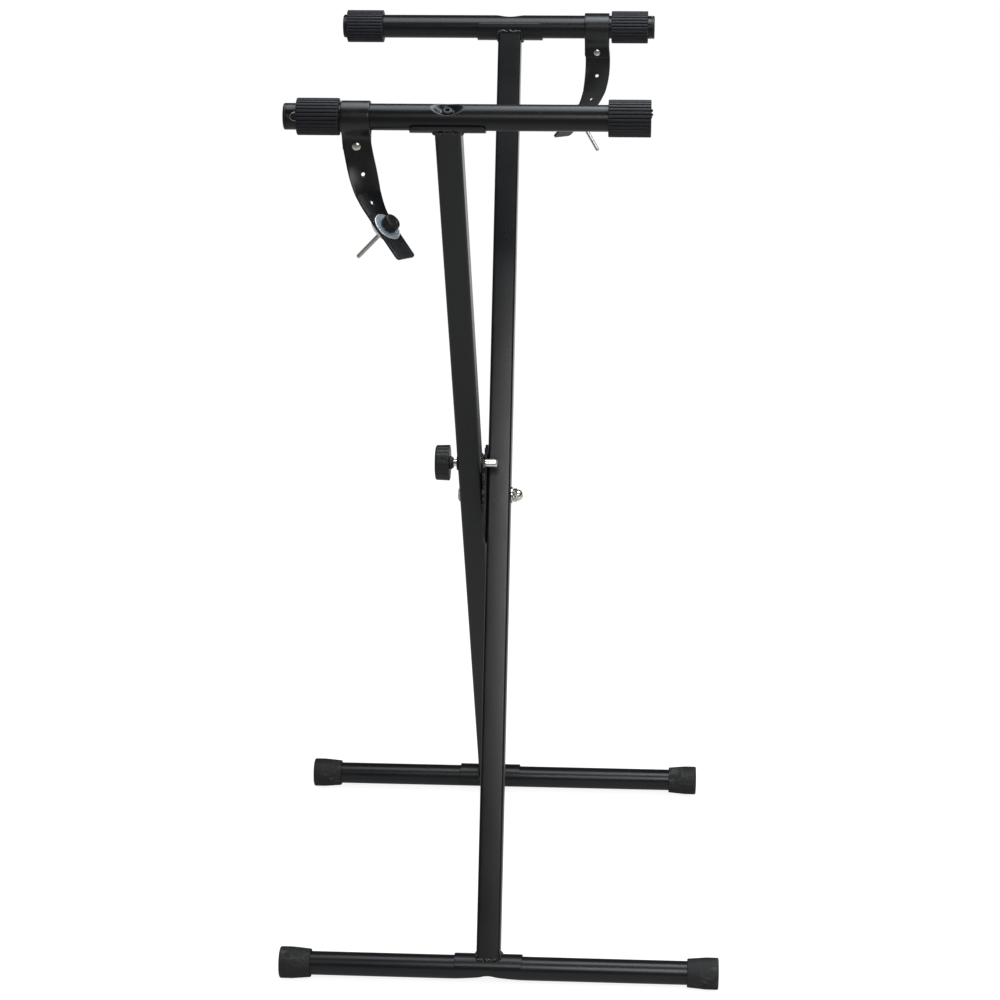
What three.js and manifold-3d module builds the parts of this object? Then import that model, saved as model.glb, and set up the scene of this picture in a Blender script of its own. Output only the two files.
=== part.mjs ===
// Folding X-frame keyboard stand, in millimetres, +Z up.
// The origin is on the floor, under the middle of the footprint.
// Leg A runs from the front top bar down to the rear base bar, and leg B from the rear top bar
// down to the front base bar. Leg B is leg A's frame turned half a turn about the vertical.

import * as THREE from 'three';
import { mergeVertices } from 'three/addons/utils/BufferGeometryUtils.js';
import Module from 'manifold-3d';

const wasm = await Module();
wasm.setup();

// ---------------------------------------------------------------- driving dimensions

// Clearances
const seatGap = 0.3; // between pieces that are fixed together
const runGap = 0.35; // round a shaft that turns or slides, on the radius
const rivetGap = 0.3; // round a rivet or bolt in its hole, on the radius

// Round resolution
const barSides = 20;
const plugSides = 16;
const smallSides = 14;
const pressSides = 12;
const tinySides = 8;
const fluteSides = 6;
const cornerSteps = 2;

// Decimals of the joint places that the build prints for the record
const listedDecimals = 6;

// Frame layout
const legTiltDegrees = 26.9; // each leg from the vertical
const upperReach = 527.6; // pivot to top bar axis, along the leg
const lowerReach = 511.9; // pivot to base bar axis, along the leg
const legGap = 4.4; // clear space between the two legs
const gapOffset = -14; // middle of that space, across the stand

// Legs
const legWidth = 25.4;
const legWall = 1.5;
const legCorner = 3;

// Bars
const barDiameter = 25.4;
const barWall = 1.2;
const topBarLength = 348.5; // over its end plugs
const baseBarLength = 473; // over its foot caps
const frontTopHole = 16.9; // middle of the bar to its bolt hole
const rearTopHole = 12.9;
const rearBaseHole = 17.4;
const frontBaseHole = -10.6; // this bar is bolted on the other way round

// Saddles between a leg and a bar
const saddleLength = 73;
const saddleWall = 2;
const saddleCorner = 4;

// Bar bolts, their dimples and their nuts
const boltDiameter = 6;
const boltHeadDiameter = 10.9;
const boltHeadHeight = 2.7;
const boltSocketWidth = 4; // across flats
const boltSocketDepth = 2;
const boltTip = 2; // past the nut
const dimpleFloorRadius = 6.5;
const dimpleFloorHeight = 7.2; // above the bar's axis
const dimpleMouthRadius = 14.5;
const nutThickness = 8;
const nutDepth = 0.7; // below the lowest point of the coped end

// End plugs of the top bars
const plugHead = 3;
const plugEdge = 2.4;
const plugSkirt = 18;
const plugWall = 2;
const plugButtonDiameter = 7.6;
const plugButtonInset = 11.5; // from the end of the plug
const plugButtonLiftDegrees = 38; // about the bar, from square to the leg towards its end

// Ribbed rubber sleeves on the top bars
const sleeveDiameter = 35.5;
const sleeveLength = 42;
const sleeveRibs = 30;
const sleeveRibDepth = 1.3;
const sleeveCrestShare = 0.56; // of the rib pitch, at the crest
const frontLeftInset = 11.5; // bar end to sleeve end
const frontRightInset = 0.5;
const rearRightInset = 6.4;
const rearLeftInset = 4;

// Rubber foot caps on the base bars
const capDiameter = 34; // at the closed end
const capMouthDiameter = 30.5;
const capLength = 34;
const capStraight = 14; // closed end to where it starts to narrow
const capEndWall = 4;
const capEdge = 3;
const capFlat = 0.8; // depth of the flat that it stands on

// Pivot
const pivotDiameter = 8;
const pivotHeadDiameter = 16;
const pivotHeadHeight = 2.5;
const pivotSocketWidth = 5;
const pivotSocketDepth = 1.5;
const crushSleeveWall = 1.8;
const frictionWasherDiameter = 24;
const frictionWasherThickness = 1;
const pivotWasherDiameter = 18;
const pivotWasherThickness = 1.6;
const acornWidth = 13; // across flats
const acornHexHeight = 5;
const acornDomeDiameter = 12.4;
const acornTopWall = 2;
const acornChamfer = 0.6; // height, on the corners of the hexagon

// Locking disc on leg B and its rivets
const discDiameter = 108;
const discThickness = 2.5;
const discSides = 45;
const foldStepDegrees = 16; // between two notches
const notchesEachWay = 3; // from the notch that is in use
const discRivetReach = 28; // pivot to rivet
const discRivetDiameter = 4.4;
const discRivetHeadDiameter = 8;
const discRivetHeadHeight = 0.8;

// Pull pin on leg A
const pinReach = 50; // pivot to pin
const pinDiameter = 9.5;
const pinNose = 16.6; // beyond the leg's inner face
const pinNoseRound = 4.3;
const pinShaftDiameter = 8;
const pinCollarDiameter = 14;
const pinCollarThickness = 2;
const pinStandoff = 9.3; // leg's outer face to the knob
const storageHoleGap = 0.5; // round the pin in leg B when folded
const bushingBarrelWall = 2;
const bushingFlange = 1; // thickness, on the disc's side
const bushingFlangeDiameter = 22;
const gripBushingFlange = 1.5; // thickness, on the knob's side
const gripBushingDiameter = 16;

// Pull knob
const knobDiameter = 38.7;
const knobThickness = 17;
const knobEdge = 5; // rounded, on the side away from the leg
const knobChamfer = 1; // on the side towards the leg
const knobHubDiameter = 14;
const knobHubHeight = 4;
const knobBore = 10; // depth from the hub's face
const knobFlutes = 16;
const knobFluteDiameter = 5;
const knobFluteDepth = 0.5;

// Return spring inside leg A
const springWire = 0.7;
const springDiameter = 11; // to the middle of the wire
const springTurns = 4;
const springStepsPerTurn = 8;
const springSides = 5;
const springLeastGap = 0.4;

// Keyboard straps
const strapWidth = 28.8;
const strapThickness = 2.4;
const strapSleeveGap = 1.4; // between the strap and the sleeve beside it
const strapPinch = 24; // bar axis down to where the two layers meet
const strapTail = 34; // bar axis down to the end of the short layer
const strapRivetDrop = 28; // bar axis down to the rivet
const strapLeaveDegrees = 35; // below level, where the band leaves the bar
const strapEndRound = 3.5;
const strapBlade = 52; // the straight, flat lower end
const strapScrewInset = 36.5; // lower end to the thumb screw
const strapHolePitch = 28.5;
const strapHoleDiameter = 4.8;
const strapHoles = 2; // free holes above the thumb screw
const strapTwistStart = 0.16; // share of the curl that stays flat under the bar
const strapLoopSteps = 6; // in each curve of the loop
const strapCurlSteps = 12;

// The curl of a strap, from where its layers meet to where its straight lower end starts. Across and
// lean are towards the middle of the bar.
const frontCurl = { across: 19.2, lean: 3.5, twistDegrees: 51.4 };
const rearCurl = { across: 11.7, lean: -3.5, twistDegrees: 36 };
const curlOut = 7.2; // away from the stand
const curlDown = 70.2;
const curlStartPull = 25;
const curlEndPull = 15;
const bladeDirection = new THREE.Vector3(0.57, -0.43, -0.7).normalize();

// Strap rivets
const strapRivetDiameter = 4;
const strapRivetHeadDiameter = 8.7;
const strapRivetHeadHeight = 2.2;
const strapRivetTailDiameter = 7;
const strapRivetTailHeight = 1;

// Thumb screws
const thumbDiameter = 17.2;
const thumbHeight = 9.5;
const thumbEdge = 2.2;
const thumbBore = 6;
const rodDiameter = 4.2;
const rodBehind = 48; // middle of the strap to the rod's tip
const rodPoint = 0.6;
const frontWasherDiameter = 28;
const backWasherDiameter = 22;
const screwWasherThickness = 1.2;

// ---------------------------------------------------------------- sizes that follow

const legTilt = THREE.MathUtils.degToRad(legTiltDegrees);
const foldStep = THREE.MathUtils.degToRad(foldStepDegrees);
const halfLeg = legWidth / 2;
const legSpacing = legWidth + legGap;
const barRadius = barDiameter / 2;
const boreRadius = barRadius - barWall;
const saddleInner = barRadius + seatGap;
const saddleOuter = saddleInner + saddleWall;
const copeRadius = saddleOuter + seatGap;
const capRadius = capDiameter / 2;
const footHeight = capRadius - capFlat;
const pivotHeight = footHeight + lowerReach * Math.cos(legTilt);
const pivotHoleRadius = pivotDiameter / 2 + runGap;
const pinHoleRadius = pinDiameter / 2 + runGap;
const shaftHoleRadius = pinShaftDiameter / 2 + runGap;
const guideBarrelRadius = pinHoleRadius + bushingBarrelWall;
const gripBarrelRadius = shaftHoleRadius + bushingBarrelWall;
const nutTop = -(copeRadius + nutDepth);
const plugButtonLift = THREE.MathUtils.degToRad(plugButtonLiftDegrees);
const strapLoopRadius = saddleInner + strapThickness / 2;
const strapLayerOffset = (strapThickness + seatGap) / 2;
const cutMargin = 1; // how far a cutting tool runs past what it cuts

// ---------------------------------------------------------------- finishes

const paint = { color: 0x1c1d20, roughness: 0.42, metalness: 0.25 };
const rubber = { color: 0x1f2022, roughness: 0.85, metalness: 0 };
const nylon = { color: 0x17181a, roughness: 0.6, metalness: 0 };
const whiteNylon = { color: 0xe8e8e6, roughness: 0.5, metalness: 0 };
const chrome = { color: 0xd9dbdd, roughness: 0.15, metalness: 1 };
const zinc = { color: 0x9aa4ad, roughness: 0.35, metalness: 0.9 };
const blackSteel = { color: 0x202124, roughness: 0.35, metalness: 0.6 };

// ---------------------------------------------------------------- shape helpers

// A closed, outward-facing copy of a geometry that holds positions alone.
function closed(geometry) {
  const bare = geometry.clone();
  bare.deleteAttribute('normal');
  bare.deleteAttribute('uv');
  const merged = mergeVertices(bare, 1e-4);
  const corner = merged.attributes.position;
  const triangles = [];
  let volume = 0;
  const [a, b, c] = [new THREE.Vector3(), new THREE.Vector3(), new THREE.Vector3()];
  for (let i = 0; i < merged.index.count; i += 3) {
    const [p, q, r] = [0, 1, 2].map((k) => merged.index.getX(i + k));
    if (p === q || q === r || r === p) continue;
    triangles.push([p, q, r]);
    a.fromBufferAttribute(corner, p);
    b.fromBufferAttribute(corner, q);
    c.fromBufferAttribute(corner, r);
    volume += a.dot(b.cross(c));
  }
  const facing = volume < 0 ? triangles.map(([p, q, r]) => [p, r, q]) : triangles;
  merged.setIndex(facing.flat());
  return merged;
}

function solid(geometry) {
  const shape = closed(geometry);
  return new wasm.Manifold(new wasm.Mesh({
    numProp: 3,
    vertProperties: new Float32Array(shape.attributes.position.array),
    triVerts: new Uint32Array(shape.index.array),
  }));
}

function geometryOf(body) {
  const mesh = body.getMesh();
  const geometry = new THREE.BufferGeometry();
  geometry.setAttribute('position', new THREE.BufferAttribute(new Float32Array(mesh.vertProperties), 3));
  geometry.setIndex(new THREE.BufferAttribute(new Uint32Array(mesh.triVerts), 1));
  return geometry;
}

function cut(geometry, ...tools) {
  return geometryOf(tools.reduce((body, tool) => body.subtract(solid(tool)), solid(geometry)));
}

// A body of revolution about Z from a closed profile of [radius, height] points.
function turned(profile, sides = smallSides) {
  const points = profile.map(([radius, height]) => new THREE.Vector2(radius, height));
  return new THREE.LatheGeometry(points, sides).rotateX(Math.PI / 2);
}

function turnedAlongX(profile, sides = smallSides) {
  return turned(profile, sides).rotateY(Math.PI / 2);
}

function rod(radius, from, to, sides = smallSides) {
  return turned([[0, from], [radius, from], [radius, to], [0, to]], sides);
}

function rodAlongX(radius, from, to, sides = smallSides) {
  return rod(radius, from, to, sides).rotateY(Math.PI / 2);
}

function ring(inner, outer, from, to, sides = smallSides) {
  return turned([[inner, from], [outer, from], [outer, to], [inner, to], [inner, from]], sides);
}

function ringAlongX(inner, outer, from, to, sides = smallSides) {
  return ring(inner, outer, from, to, sides).rotateY(Math.PI / 2);
}

function prism(shape, depth) {
  return new THREE.ExtrudeGeometry(shape, { depth, bevelEnabled: false, curveSegments: cornerSteps });
}

function polygon(sides, acrossFlats) {
  const corners = [];
  const radius = acrossFlats / 2 / Math.cos(Math.PI / sides);
  for (let i = 0; i < sides; i += 1) {
    const angle = (2 * Math.PI * i) / sides;
    corners.push(new THREE.Vector2(radius * Math.cos(angle), radius * Math.sin(angle)));
  }
  return new THREE.Shape(corners);
}

function hexagon(acrossFlats, from, to) {
  return prism(polygon(6, acrossFlats), to - from).translate(0, 0, from);
}

// Points of a quarter-round edge of a turned piece, from its outer wall to its end face.
function roundedEdge(radius, end, edge, steps = cornerSteps) {
  const points = [];
  const inward = Math.sign(end) || 1;
  for (let i = 0; i <= steps; i += 1) {
    const angle = (Math.PI / 2) * (i / steps);
    points.push([
      radius - edge + edge * Math.cos(angle),
      end - inward * edge * (1 - Math.sin(angle)),
    ]);
  }
  return points;
}

function roundedSquare(width, corner) {
  const half = width / 2;
  const shape = new THREE.Shape();
  shape.moveTo(half, -half + corner);
  shape.lineTo(half, half - corner);
  shape.absarc(half - corner, half - corner, corner, 0, Math.PI / 2);
  shape.absarc(-half + corner, half - corner, corner, Math.PI / 2, Math.PI);
  shape.absarc(-half + corner, -half + corner, corner, Math.PI, 1.5 * Math.PI);
  shape.absarc(half - corner, -half + corner, corner, 1.5 * Math.PI, 2 * Math.PI);
  return shape;
}

function piece(parent, name, geometry, finish) {
  const mesh = new THREE.Mesh(closed(geometry), new THREE.MeshStandardMaterial(finish));
  mesh.name = name;
  parent.add(mesh);
  return mesh;
}

function frame(parent, x = 0, y = 0, z = 0) {
  const group = new THREE.Group();
  group.position.set(x, y, z);
  parent.add(group);
  return group;
}

// ---------------------------------------------------------------- legs and their joints to the bars

// A square tube whose two ends are coped to the saddles, in the leg's frame: Z along the leg.
function legTube(holes) {
  const outline = roundedSquare(legWidth, legCorner);
  outline.holes.push(roundedSquare(legWidth - 2 * legWall, legCorner - legWall));
  const ear = Math.sqrt(copeRadius ** 2 - halfLeg ** 2) + cutMargin;
  const length = upperReach + lowerReach - 2 * ear;
  const tube = prism(outline, length).translate(0, 0, ear - lowerReach);
  const cope = rodAlongX(copeRadius, -legWidth, legWidth, barSides);
  return cut(
    tube,
    cope.clone().translate(0, 0, upperReach),
    cope.clone().translate(0, 0, -lowerReach),
    rodAlongX(pivotHoleRadius, -legWidth, legWidth),
    ...holes,
  );
}

// In a joint's frame the origin is on the bar's axis and +Z points away from the leg.
function saddle() {
  const shell = ringAlongX(saddleInner, saddleOuter, -saddleLength / 2, saddleLength / 2, barSides);
  const half = saddleLength / 2;
  const side = new THREE.Shape();
  side.moveTo(-half - cutMargin, -saddleOuter - cutMargin);
  side.lineTo(half + cutMargin, -saddleOuter - cutMargin);
  side.lineTo(half + cutMargin, -saddleCorner);
  side.lineTo(half, -saddleCorner);
  side.absarc(half - saddleCorner, -saddleCorner, saddleCorner, 0, Math.PI / 2);
  side.absarc(-half + saddleCorner, -saddleCorner, saddleCorner, Math.PI / 2, Math.PI);
  side.lineTo(-half - cutMargin, -saddleCorner);
  const keep = prism(side, 2 * (saddleOuter + cutMargin))
    .translate(0, 0, -saddleOuter - cutMargin)
    .rotateX(Math.PI / 2);
  const kept = solid(shell).intersect(solid(keep));
  return geometryOf(kept.subtract(solid(rod(boltDiameter / 2 + rivetGap, nutTop, 0, pressSides))));
}

function dimpleTool(offset) {
  const floor = dimpleFloorHeight - offset;
  const mouth = barRadius - offset;
  return turned([
    [0, floor],
    [dimpleFloorRadius + offset, floor],
    [dimpleMouthRadius + offset, mouth],
    [dimpleMouthRadius + offset, mouth + barRadius],
    [0, mouth + barRadius],
  ], pressSides);
}

// A round tube along X with a pressed dimple round its bolt hole. The origin is on the bolt's axis.
function bar(middle, length, buttonHoles) {
  const from = middle - length / 2;
  const to = middle + length / 2;
  const wall = solid(rodAlongX(barRadius, from, to, barSides)).subtract(solid(dimpleTool(0)));
  const bore = solid(rodAlongX(boreRadius, from - cutMargin, to + cutMargin, barSides))
    .subtract(solid(dimpleTool(barWall)));
  const boltHole = rod(boltDiameter / 2 + rivetGap, -barDiameter, barDiameter, pressSides);
  const holes = [boltHole, ...buttonHoles];
  return geometryOf(holes.reduce((body, hole) => body.subtract(solid(hole)), wall.subtract(bore)));
}

function boltLength() {
  return dimpleFloorHeight + seatGap - nutTop + nutThickness + boltTip;
}

function barBolt() {
  const seat = dimpleFloorHeight + seatGap;
  const tip = seat - boltLength();
  const headRadius = boltHeadDiameter / 2;
  const crown = [];
  for (let i = 0; i <= cornerSteps; i += 1) {
    const angle = (Math.PI / 2) * (i / cornerSteps);
    crown.push([
      boltSocketWidth + (headRadius - boltSocketWidth) * Math.cos(angle),
      seat + boltHeadHeight * Math.sin(angle),
    ]);
  }
  const body = turned([
    [0, tip],
    [boltDiameter / 2, tip],
    [boltDiameter / 2, seat],
    ...crown,
    [0, seat + boltHeadHeight],
  ]);
  const top = seat + boltHeadHeight;
  return cut(body, hexagon(boltSocketWidth, top - boltSocketDepth, top + cutMargin));
}

function weldNut() {
  const width = legWidth - 2 * (legWall + seatGap);
  const block = prism(roundedSquare(width, legCorner - legWall), nutThickness)
    .translate(0, 0, nutTop - nutThickness);
  return cut(block, rod(boltDiameter / 2 + rivetGap, nutTop - nutThickness - cutMargin, nutTop + cutMargin));
}

// ---------------------------------------------------------------- plugs, sleeves and foot caps

// The plug of the bar end on one side, made for an end at +X; the origin is on its outer face.
function endPlug(side) {
  const skirtRadius = boreRadius - seatGap;
  const body = turnedAlongX([
    [0, -plugHead],
    [skirtRadius - plugWall, -plugHead],
    [skirtRadius - plugWall, -plugHead - plugSkirt],
    [skirtRadius, -plugHead - plugSkirt],
    [skirtRadius, -plugHead],
    [barRadius, -plugHead],
    ...roundedEdge(barRadius, 0, plugEdge),
    [0, 0],
  ], plugSides);
  const radius = plugButtonDiameter / 2 - seatGap;
  const button = rod(radius, skirtRadius - plugWall / 2, barRadius - seatGap, tinySides)
    .rotateX(Math.PI / 2 - side * plugButtonLift)
    .translate(-plugButtonInset, 0, 0);
  return geometryOf(solid(body).add(solid(button)));
}

function buttonHole(x) {
  const hole = rod(plugButtonDiameter / 2, boreRadius / 2, barDiameter, tinySides);
  return hole.rotateX(Math.PI / 2 - plugButtonLift).translate(x, 0, 0);
}

// A sleeve along X with its middle at the origin and one rib crest straight up.
function ribbedSleeve() {
  const outer = sleeveDiameter / 2;
  const root = outer - sleeveRibDepth;
  const pitch = (2 * Math.PI) / sleeveRibs;
  const shape = new THREE.Shape();
  for (let i = 0; i < sleeveRibs; i += 1) {
    const middle = i * pitch;
    const crest = outer / Math.cos((pitch * sleeveCrestShare) / 2);
    const stops = [
      [crest, -sleeveCrestShare / 2],
      [crest, sleeveCrestShare / 2],
      [root, 1 / 2],
    ];
    stops.forEach(([radius, share], k) => {
      const angle = middle + share * pitch;
      const [x, y] = [radius * Math.cos(angle), radius * Math.sin(angle)];
      if (i === 0 && k === 0) shape.moveTo(x, y);
      else shape.lineTo(x, y);
    });
  }
  const bore = new THREE.Path();
  for (let i = 0; i < barSides; i += 1) {
    const angle = (2 * Math.PI * i) / barSides;
    const [x, y] = [saddleInner * Math.cos(angle), saddleInner * Math.sin(angle)];
    if (i === 0) bore.moveTo(x, y);
    else bore.lineTo(x, y);
  }
  shape.holes.push(bore);
  return prism(shape, sleeveLength).translate(0, 0, -sleeveLength / 2).rotateY(-Math.PI / 2);
}

// The cap of a bar whose end is at +X; the origin is on the closed end's face. It stands on its flat.
function footCap() {
  const mouth = capMouthDiameter / 2;
  const inner = barRadius + seatGap;
  const body = turnedAlongX([
    [0, -capEndWall],
    [inner, -capEndWall],
    [inner, -capLength],
    [mouth, -capLength],
    [capRadius, -capStraight],
    ...roundedEdge(capRadius, 0, capEdge),
    [0, 0],
  ], barSides);
  const floor = new THREE.BoxGeometry(2 * capLength + cutMargin, capDiameter, capRadius)
    .translate(0, 0, -footHeight - capRadius / 2);
  return cut(body, floor);
}

// ---------------------------------------------------------------- pivot, locking disc and pull pin

// Pieces here lie along X. In either leg's frame +X points at the other leg.
function pivotBolt(end) {
  const seat = -halfLeg - seatGap;
  const top = seat - pivotHeadHeight;
  const edge = pivotHeadHeight / 2;
  const head = turnedAlongX([
    [0, end],
    [pivotDiameter / 2, end],
    [pivotDiameter / 2, seat],
    [pivotHeadDiameter / 2, seat],
    ...roundedEdge(pivotHeadDiameter / 2, top, edge),
    [0, top],
  ], smallSides);
  const socket = hexagon(pivotSocketWidth, top - cutMargin, top + pivotSocketDepth).rotateY(Math.PI / 2);
  return cut(head, socket);
}

function acornNut(seat, boltEnd) {
  const wrench = hexagon(acornWidth, seat, seat + acornHexHeight).rotateY(Math.PI / 2);
  const radius = acornDomeDiameter / 2;
  const chamfer = turnedAlongX([
    [0, seat],
    [acornWidth / 2, seat],
    [acornWidth / 2 / Math.cos(Math.PI / 6), seat + acornChamfer],
    [acornWidth / 2 / Math.cos(Math.PI / 6), seat + acornHexHeight - acornChamfer],
    [acornWidth / 2, seat + acornHexHeight],
    [0, seat + acornHexHeight],
  ]);
  const dome = [[0, seat + cutMargin], [radius, seat + cutMargin]];
  for (let i = 0; i <= cornerSteps * 2; i += 1) {
    const angle = (Math.PI / 2) * (i / (cornerSteps * 2));
    dome.push([radius * Math.cos(angle), seat + acornHexHeight + radius * Math.sin(angle)]);
  }
  const nut = solid(wrench).intersect(solid(chamfer)).add(solid(turnedAlongX(dome)));
  const thread = rodAlongX(pivotDiameter / 2 + rivetGap, seat - cutMargin, boltEnd + seatGap);
  return geometryOf(nut.subtract(solid(thread)));
}

// Angle between the legs when the pin is in a given notch; 0 is the notch in use.
function notchAngle(index) {
  return 2 * legTilt + index * foldStep;
}

function aroundPivot(geometry, reach, angle) {
  return geometry.translate(0, reach * Math.sin(angle), reach * Math.cos(angle));
}

function lockingDisc(from) {
  const to = from + discThickness;
  const tools = [rodAlongX(pivotHoleRadius, from - cutMargin, to + cutMargin)];
  for (let i = -notchesEachWay; i <= notchesEachWay; i += 1) {
    const mouth = new THREE.BoxGeometry(discThickness + 2 * cutMargin, 2 * pinHoleRadius, discDiameter / 2)
      .translate((from + to) / 2, 0, discDiameter / 4)
      .rotateX(-notchAngle(i));
    tools.push(aroundPivot(mouth, pinReach, notchAngle(i)));
    const floor = rodAlongX(pinHoleRadius, from - cutMargin, to + cutMargin, pressSides);
    tools.push(aroundPivot(floor, pinReach, notchAngle(i)));
  }
  for (const side of [-1, 1]) {
    const hole = rodAlongX(discRivetDiameter / 2 + rivetGap, from - cutMargin, to + cutMargin, tinySides);
    tools.push(hole.translate(0, 0, side * discRivetReach));
  }
  return cut(rodAlongX(discDiameter / 2, from, to, discSides), ...tools);
}

function discRivet(discFace) {
  const seat = discFace + seatGap;
  const inside = halfLeg - legWall - seatGap;
  const head = discRivetHeadDiameter / 2;
  return turnedAlongX([
    [0, inside - discRivetHeadHeight],
    [head, inside - discRivetHeadHeight],
    [head, inside],
    [discRivetDiameter / 2, inside],
    [discRivetDiameter / 2, seat],
    [head, seat],
    [head, seat + discRivetHeadHeight],
    [0, seat + discRivetHeadHeight],
  ], tinySides);
}

function bushing(bore, barrel, flangeRadius, flange) {
  const inner = halfLeg - legWall;
  const seat = halfLeg + seatGap;
  return turnedAlongX([
    [bore, inner],
    [barrel, inner],
    [barrel, seat],
    [flangeRadius, seat],
    [flangeRadius, seat + flange],
    [bore, seat + flange],
    [bore, inner],
  ], smallSides);
}

const collarEnd = halfLeg - legWall - seatGap;
const collarStart = collarEnd - pinCollarThickness;
const pinTip = halfLeg + pinNose;
const knobFace = -(halfLeg + pinStandoff);
const knobHubFace = knobFace + knobHubHeight;
const shaftEnd = knobHubFace - knobBore;

function pullPin() {
  return turnedAlongX([
    [0, shaftEnd],
    [pinShaftDiameter / 2, shaftEnd],
    [pinShaftDiameter / 2, collarStart],
    [pinCollarDiameter / 2, collarStart],
    [pinCollarDiameter / 2, collarEnd],
    [pinDiameter / 2, collarEnd],
    ...roundedEdge(pinDiameter / 2, pinTip, pinNoseRound),
    [0, pinTip],
  ], smallSides);
}

function pullKnob() {
  const back = knobFace - knobThickness;
  const boreEnd = shaftEnd - seatGap;
  const bore = pinShaftDiameter / 2 + seatGap;
  const body = turnedAlongX([
    [0, boreEnd],
    [bore, boreEnd],
    [bore, knobHubFace],
    [knobHubDiameter / 2, knobHubFace],
    [knobHubDiameter / 2, knobFace],
    [knobDiameter / 2 - knobChamfer, knobFace],
    [knobDiameter / 2, knobFace - knobChamfer],
    ...roundedEdge(knobDiameter / 2, back, knobEdge),
    [0, back],
  ], barSides);
  const flutes = [];
  for (let i = 0; i < knobFlutes; i += 1) {
    const reach = (knobDiameter + knobFluteDiameter) / 2 - knobFluteDepth;
    const flute = rodAlongX(knobFluteDiameter / 2, back - cutMargin, knobFace + cutMargin, fluteSides);
    flutes.push(aroundPivot(flute, reach, (2 * Math.PI * i) / knobFlutes));
  }
  return cut(body, ...flutes);
}

// The return spring is one unbroken wire, between the grip bushing and the pin's collar.
class Coil extends THREE.Curve {
  constructor(radius, length, turns) {
    super();
    this.radius = radius;
    this.length = length;
    this.turns = turns;
  }

  getPoint(share, target = new THREE.Vector3()) {
    const angle = 2 * Math.PI * this.turns * share;
    return target.set(this.length * share, this.radius * Math.cos(angle), this.radius * Math.sin(angle));
  }
}

function leastCoilGap(coil, steps) {
  const points = coil.getPoints(steps);
  let least = Infinity;
  points.forEach((point, i) => {
    for (let k = i + springStepsPerTurn / 2; k < points.length; k += 1) {
      least = Math.min(least, point.distanceTo(points[k]) - springWire);
    }
  });
  return least;
}

function returnSpring() {
  const from = -(halfLeg - legWall) + seatGap + springWire / 2;
  const to = collarStart - seatGap - springWire / 2;
  const coil = new Coil(springDiameter / 2, to - from, springTurns);
  const steps = springTurns * springStepsPerTurn;
  const gap = leastCoilGap(coil, steps * springStepsPerTurn);
  console.log(`return spring: least gap to itself ${gap.toFixed(2)} mm, over ${springLeastGap} mm wanted`);
  const section = polygon(springSides, springWire * Math.cos(Math.PI / springSides));
  return new THREE.ExtrudeGeometry(section, { steps, extrudePath: coil, bevelEnabled: false })
    .translate(from, 0, 0);
}

// ---------------------------------------------------------------- keyboard straps

// The strap's frame has X along the bar, towards the bar's middle, -Y away from the stand and +Z up,
// with its origin on the bar's axis. A station is a point on the middle of the band with its twist.
function strapStations(curl) {
  const leave = THREE.MathUtils.degToRad(strapLeaveDegrees);
  const side = new THREE.Path();
  const pull = (strapPinch - strapLoopRadius * Math.sin(leave)) / 2;
  const edge = new THREE.Vector2(strapLoopRadius * Math.cos(leave), -strapLoopRadius * Math.sin(leave));
  side.moveTo(strapLayerOffset, -strapTail);
  side.lineTo(strapLayerOffset, -strapTail + strapEndRound);
  side.lineTo(strapLayerOffset, -strapPinch);
  side.bezierCurveTo(
    strapLayerOffset, -strapPinch + pull,
    edge.x - pull * Math.sin(leave), edge.y - pull * Math.cos(leave),
    edge.x, edge.y,
  );
  side.absarc(0, 0, strapLoopRadius, -leave, Math.PI + leave);
  side.bezierCurveTo(
    -edge.x + pull * Math.sin(leave), edge.y - pull * Math.cos(leave),
    -strapLayerOffset, -strapPinch + pull,
    -strapLayerOffset, -strapPinch,
  );
  const loop = side.getPoints(strapLoopSteps).map((point) => ({
    point: new THREE.Vector3(0, point.x, point.y),
    twist: 0,
  }));

  const start = new THREE.Vector3(0, -strapLayerOffset, -strapPinch);
  const end = start.clone().add(new THREE.Vector3(curl.across, -curlOut, -curlDown));
  const middle = new THREE.CubicBezierCurve3(
    start,
    start.clone().add(new THREE.Vector3(curl.lean, 0, -curlStartPull)),
    end.clone().addScaledVector(bladeDirection, -curlEndPull),
    end,
  );
  const fullTwist = THREE.MathUtils.degToRad(curl.twistDegrees);
  const stations = loop;
  for (let i = 1; i <= strapCurlSteps; i += 1) {
    const share = i / strapCurlSteps;
    const turning = Math.max(0, (share - strapTwistStart) / (1 - strapTwistStart));
    stations.push({ point: middle.getPoint(share), twist: fullTwist * Math.sin((turning * Math.PI) / 2) });
  }
  for (const along of [strapBlade - strapEndRound, strapBlade]) {
    stations.push({ point: end.clone().addScaledVector(bladeDirection, along), twist: fullTwist });
  }
  return withFrames(stations);
}

// The direction along the band, across it, and out of its outer face at each station.
function withFrames(stations) {
  let travelled = 0;
  return stations.map(({ point, twist }, i) => {
    const before = stations[Math.max(i - 1, 0)].point;
    const after = stations[Math.min(i + 1, stations.length - 1)].point;
    travelled += before.distanceTo(point);
    const along = after.clone().sub(before).normalize();
    const level = new THREE.Vector3(1, 0, 0).addScaledVector(along, -along.x).normalize();
    const out = along.clone().cross(level);
    const across = level.clone().multiplyScalar(Math.cos(twist)).addScaledVector(out, -Math.sin(twist));
    return { point, travelled, along, across, out: along.clone().cross(across) };
  });
}

// The frame of the band at a distance from its lower end.
function strapFrameAt(path, fromEnd) {
  const target = path[path.length - 1].travelled - fromEnd;
  const next = path.findIndex((station) => station.travelled >= target);
  const [low, high] = [path[next - 1], path[next]];
  const share = (target - low.travelled) / (high.travelled - low.travelled);
  const mix = (key) => low[key].clone().lerp(high[key], share);
  return { point: mix('point'), out: mix('out').normalize() };
}

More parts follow.
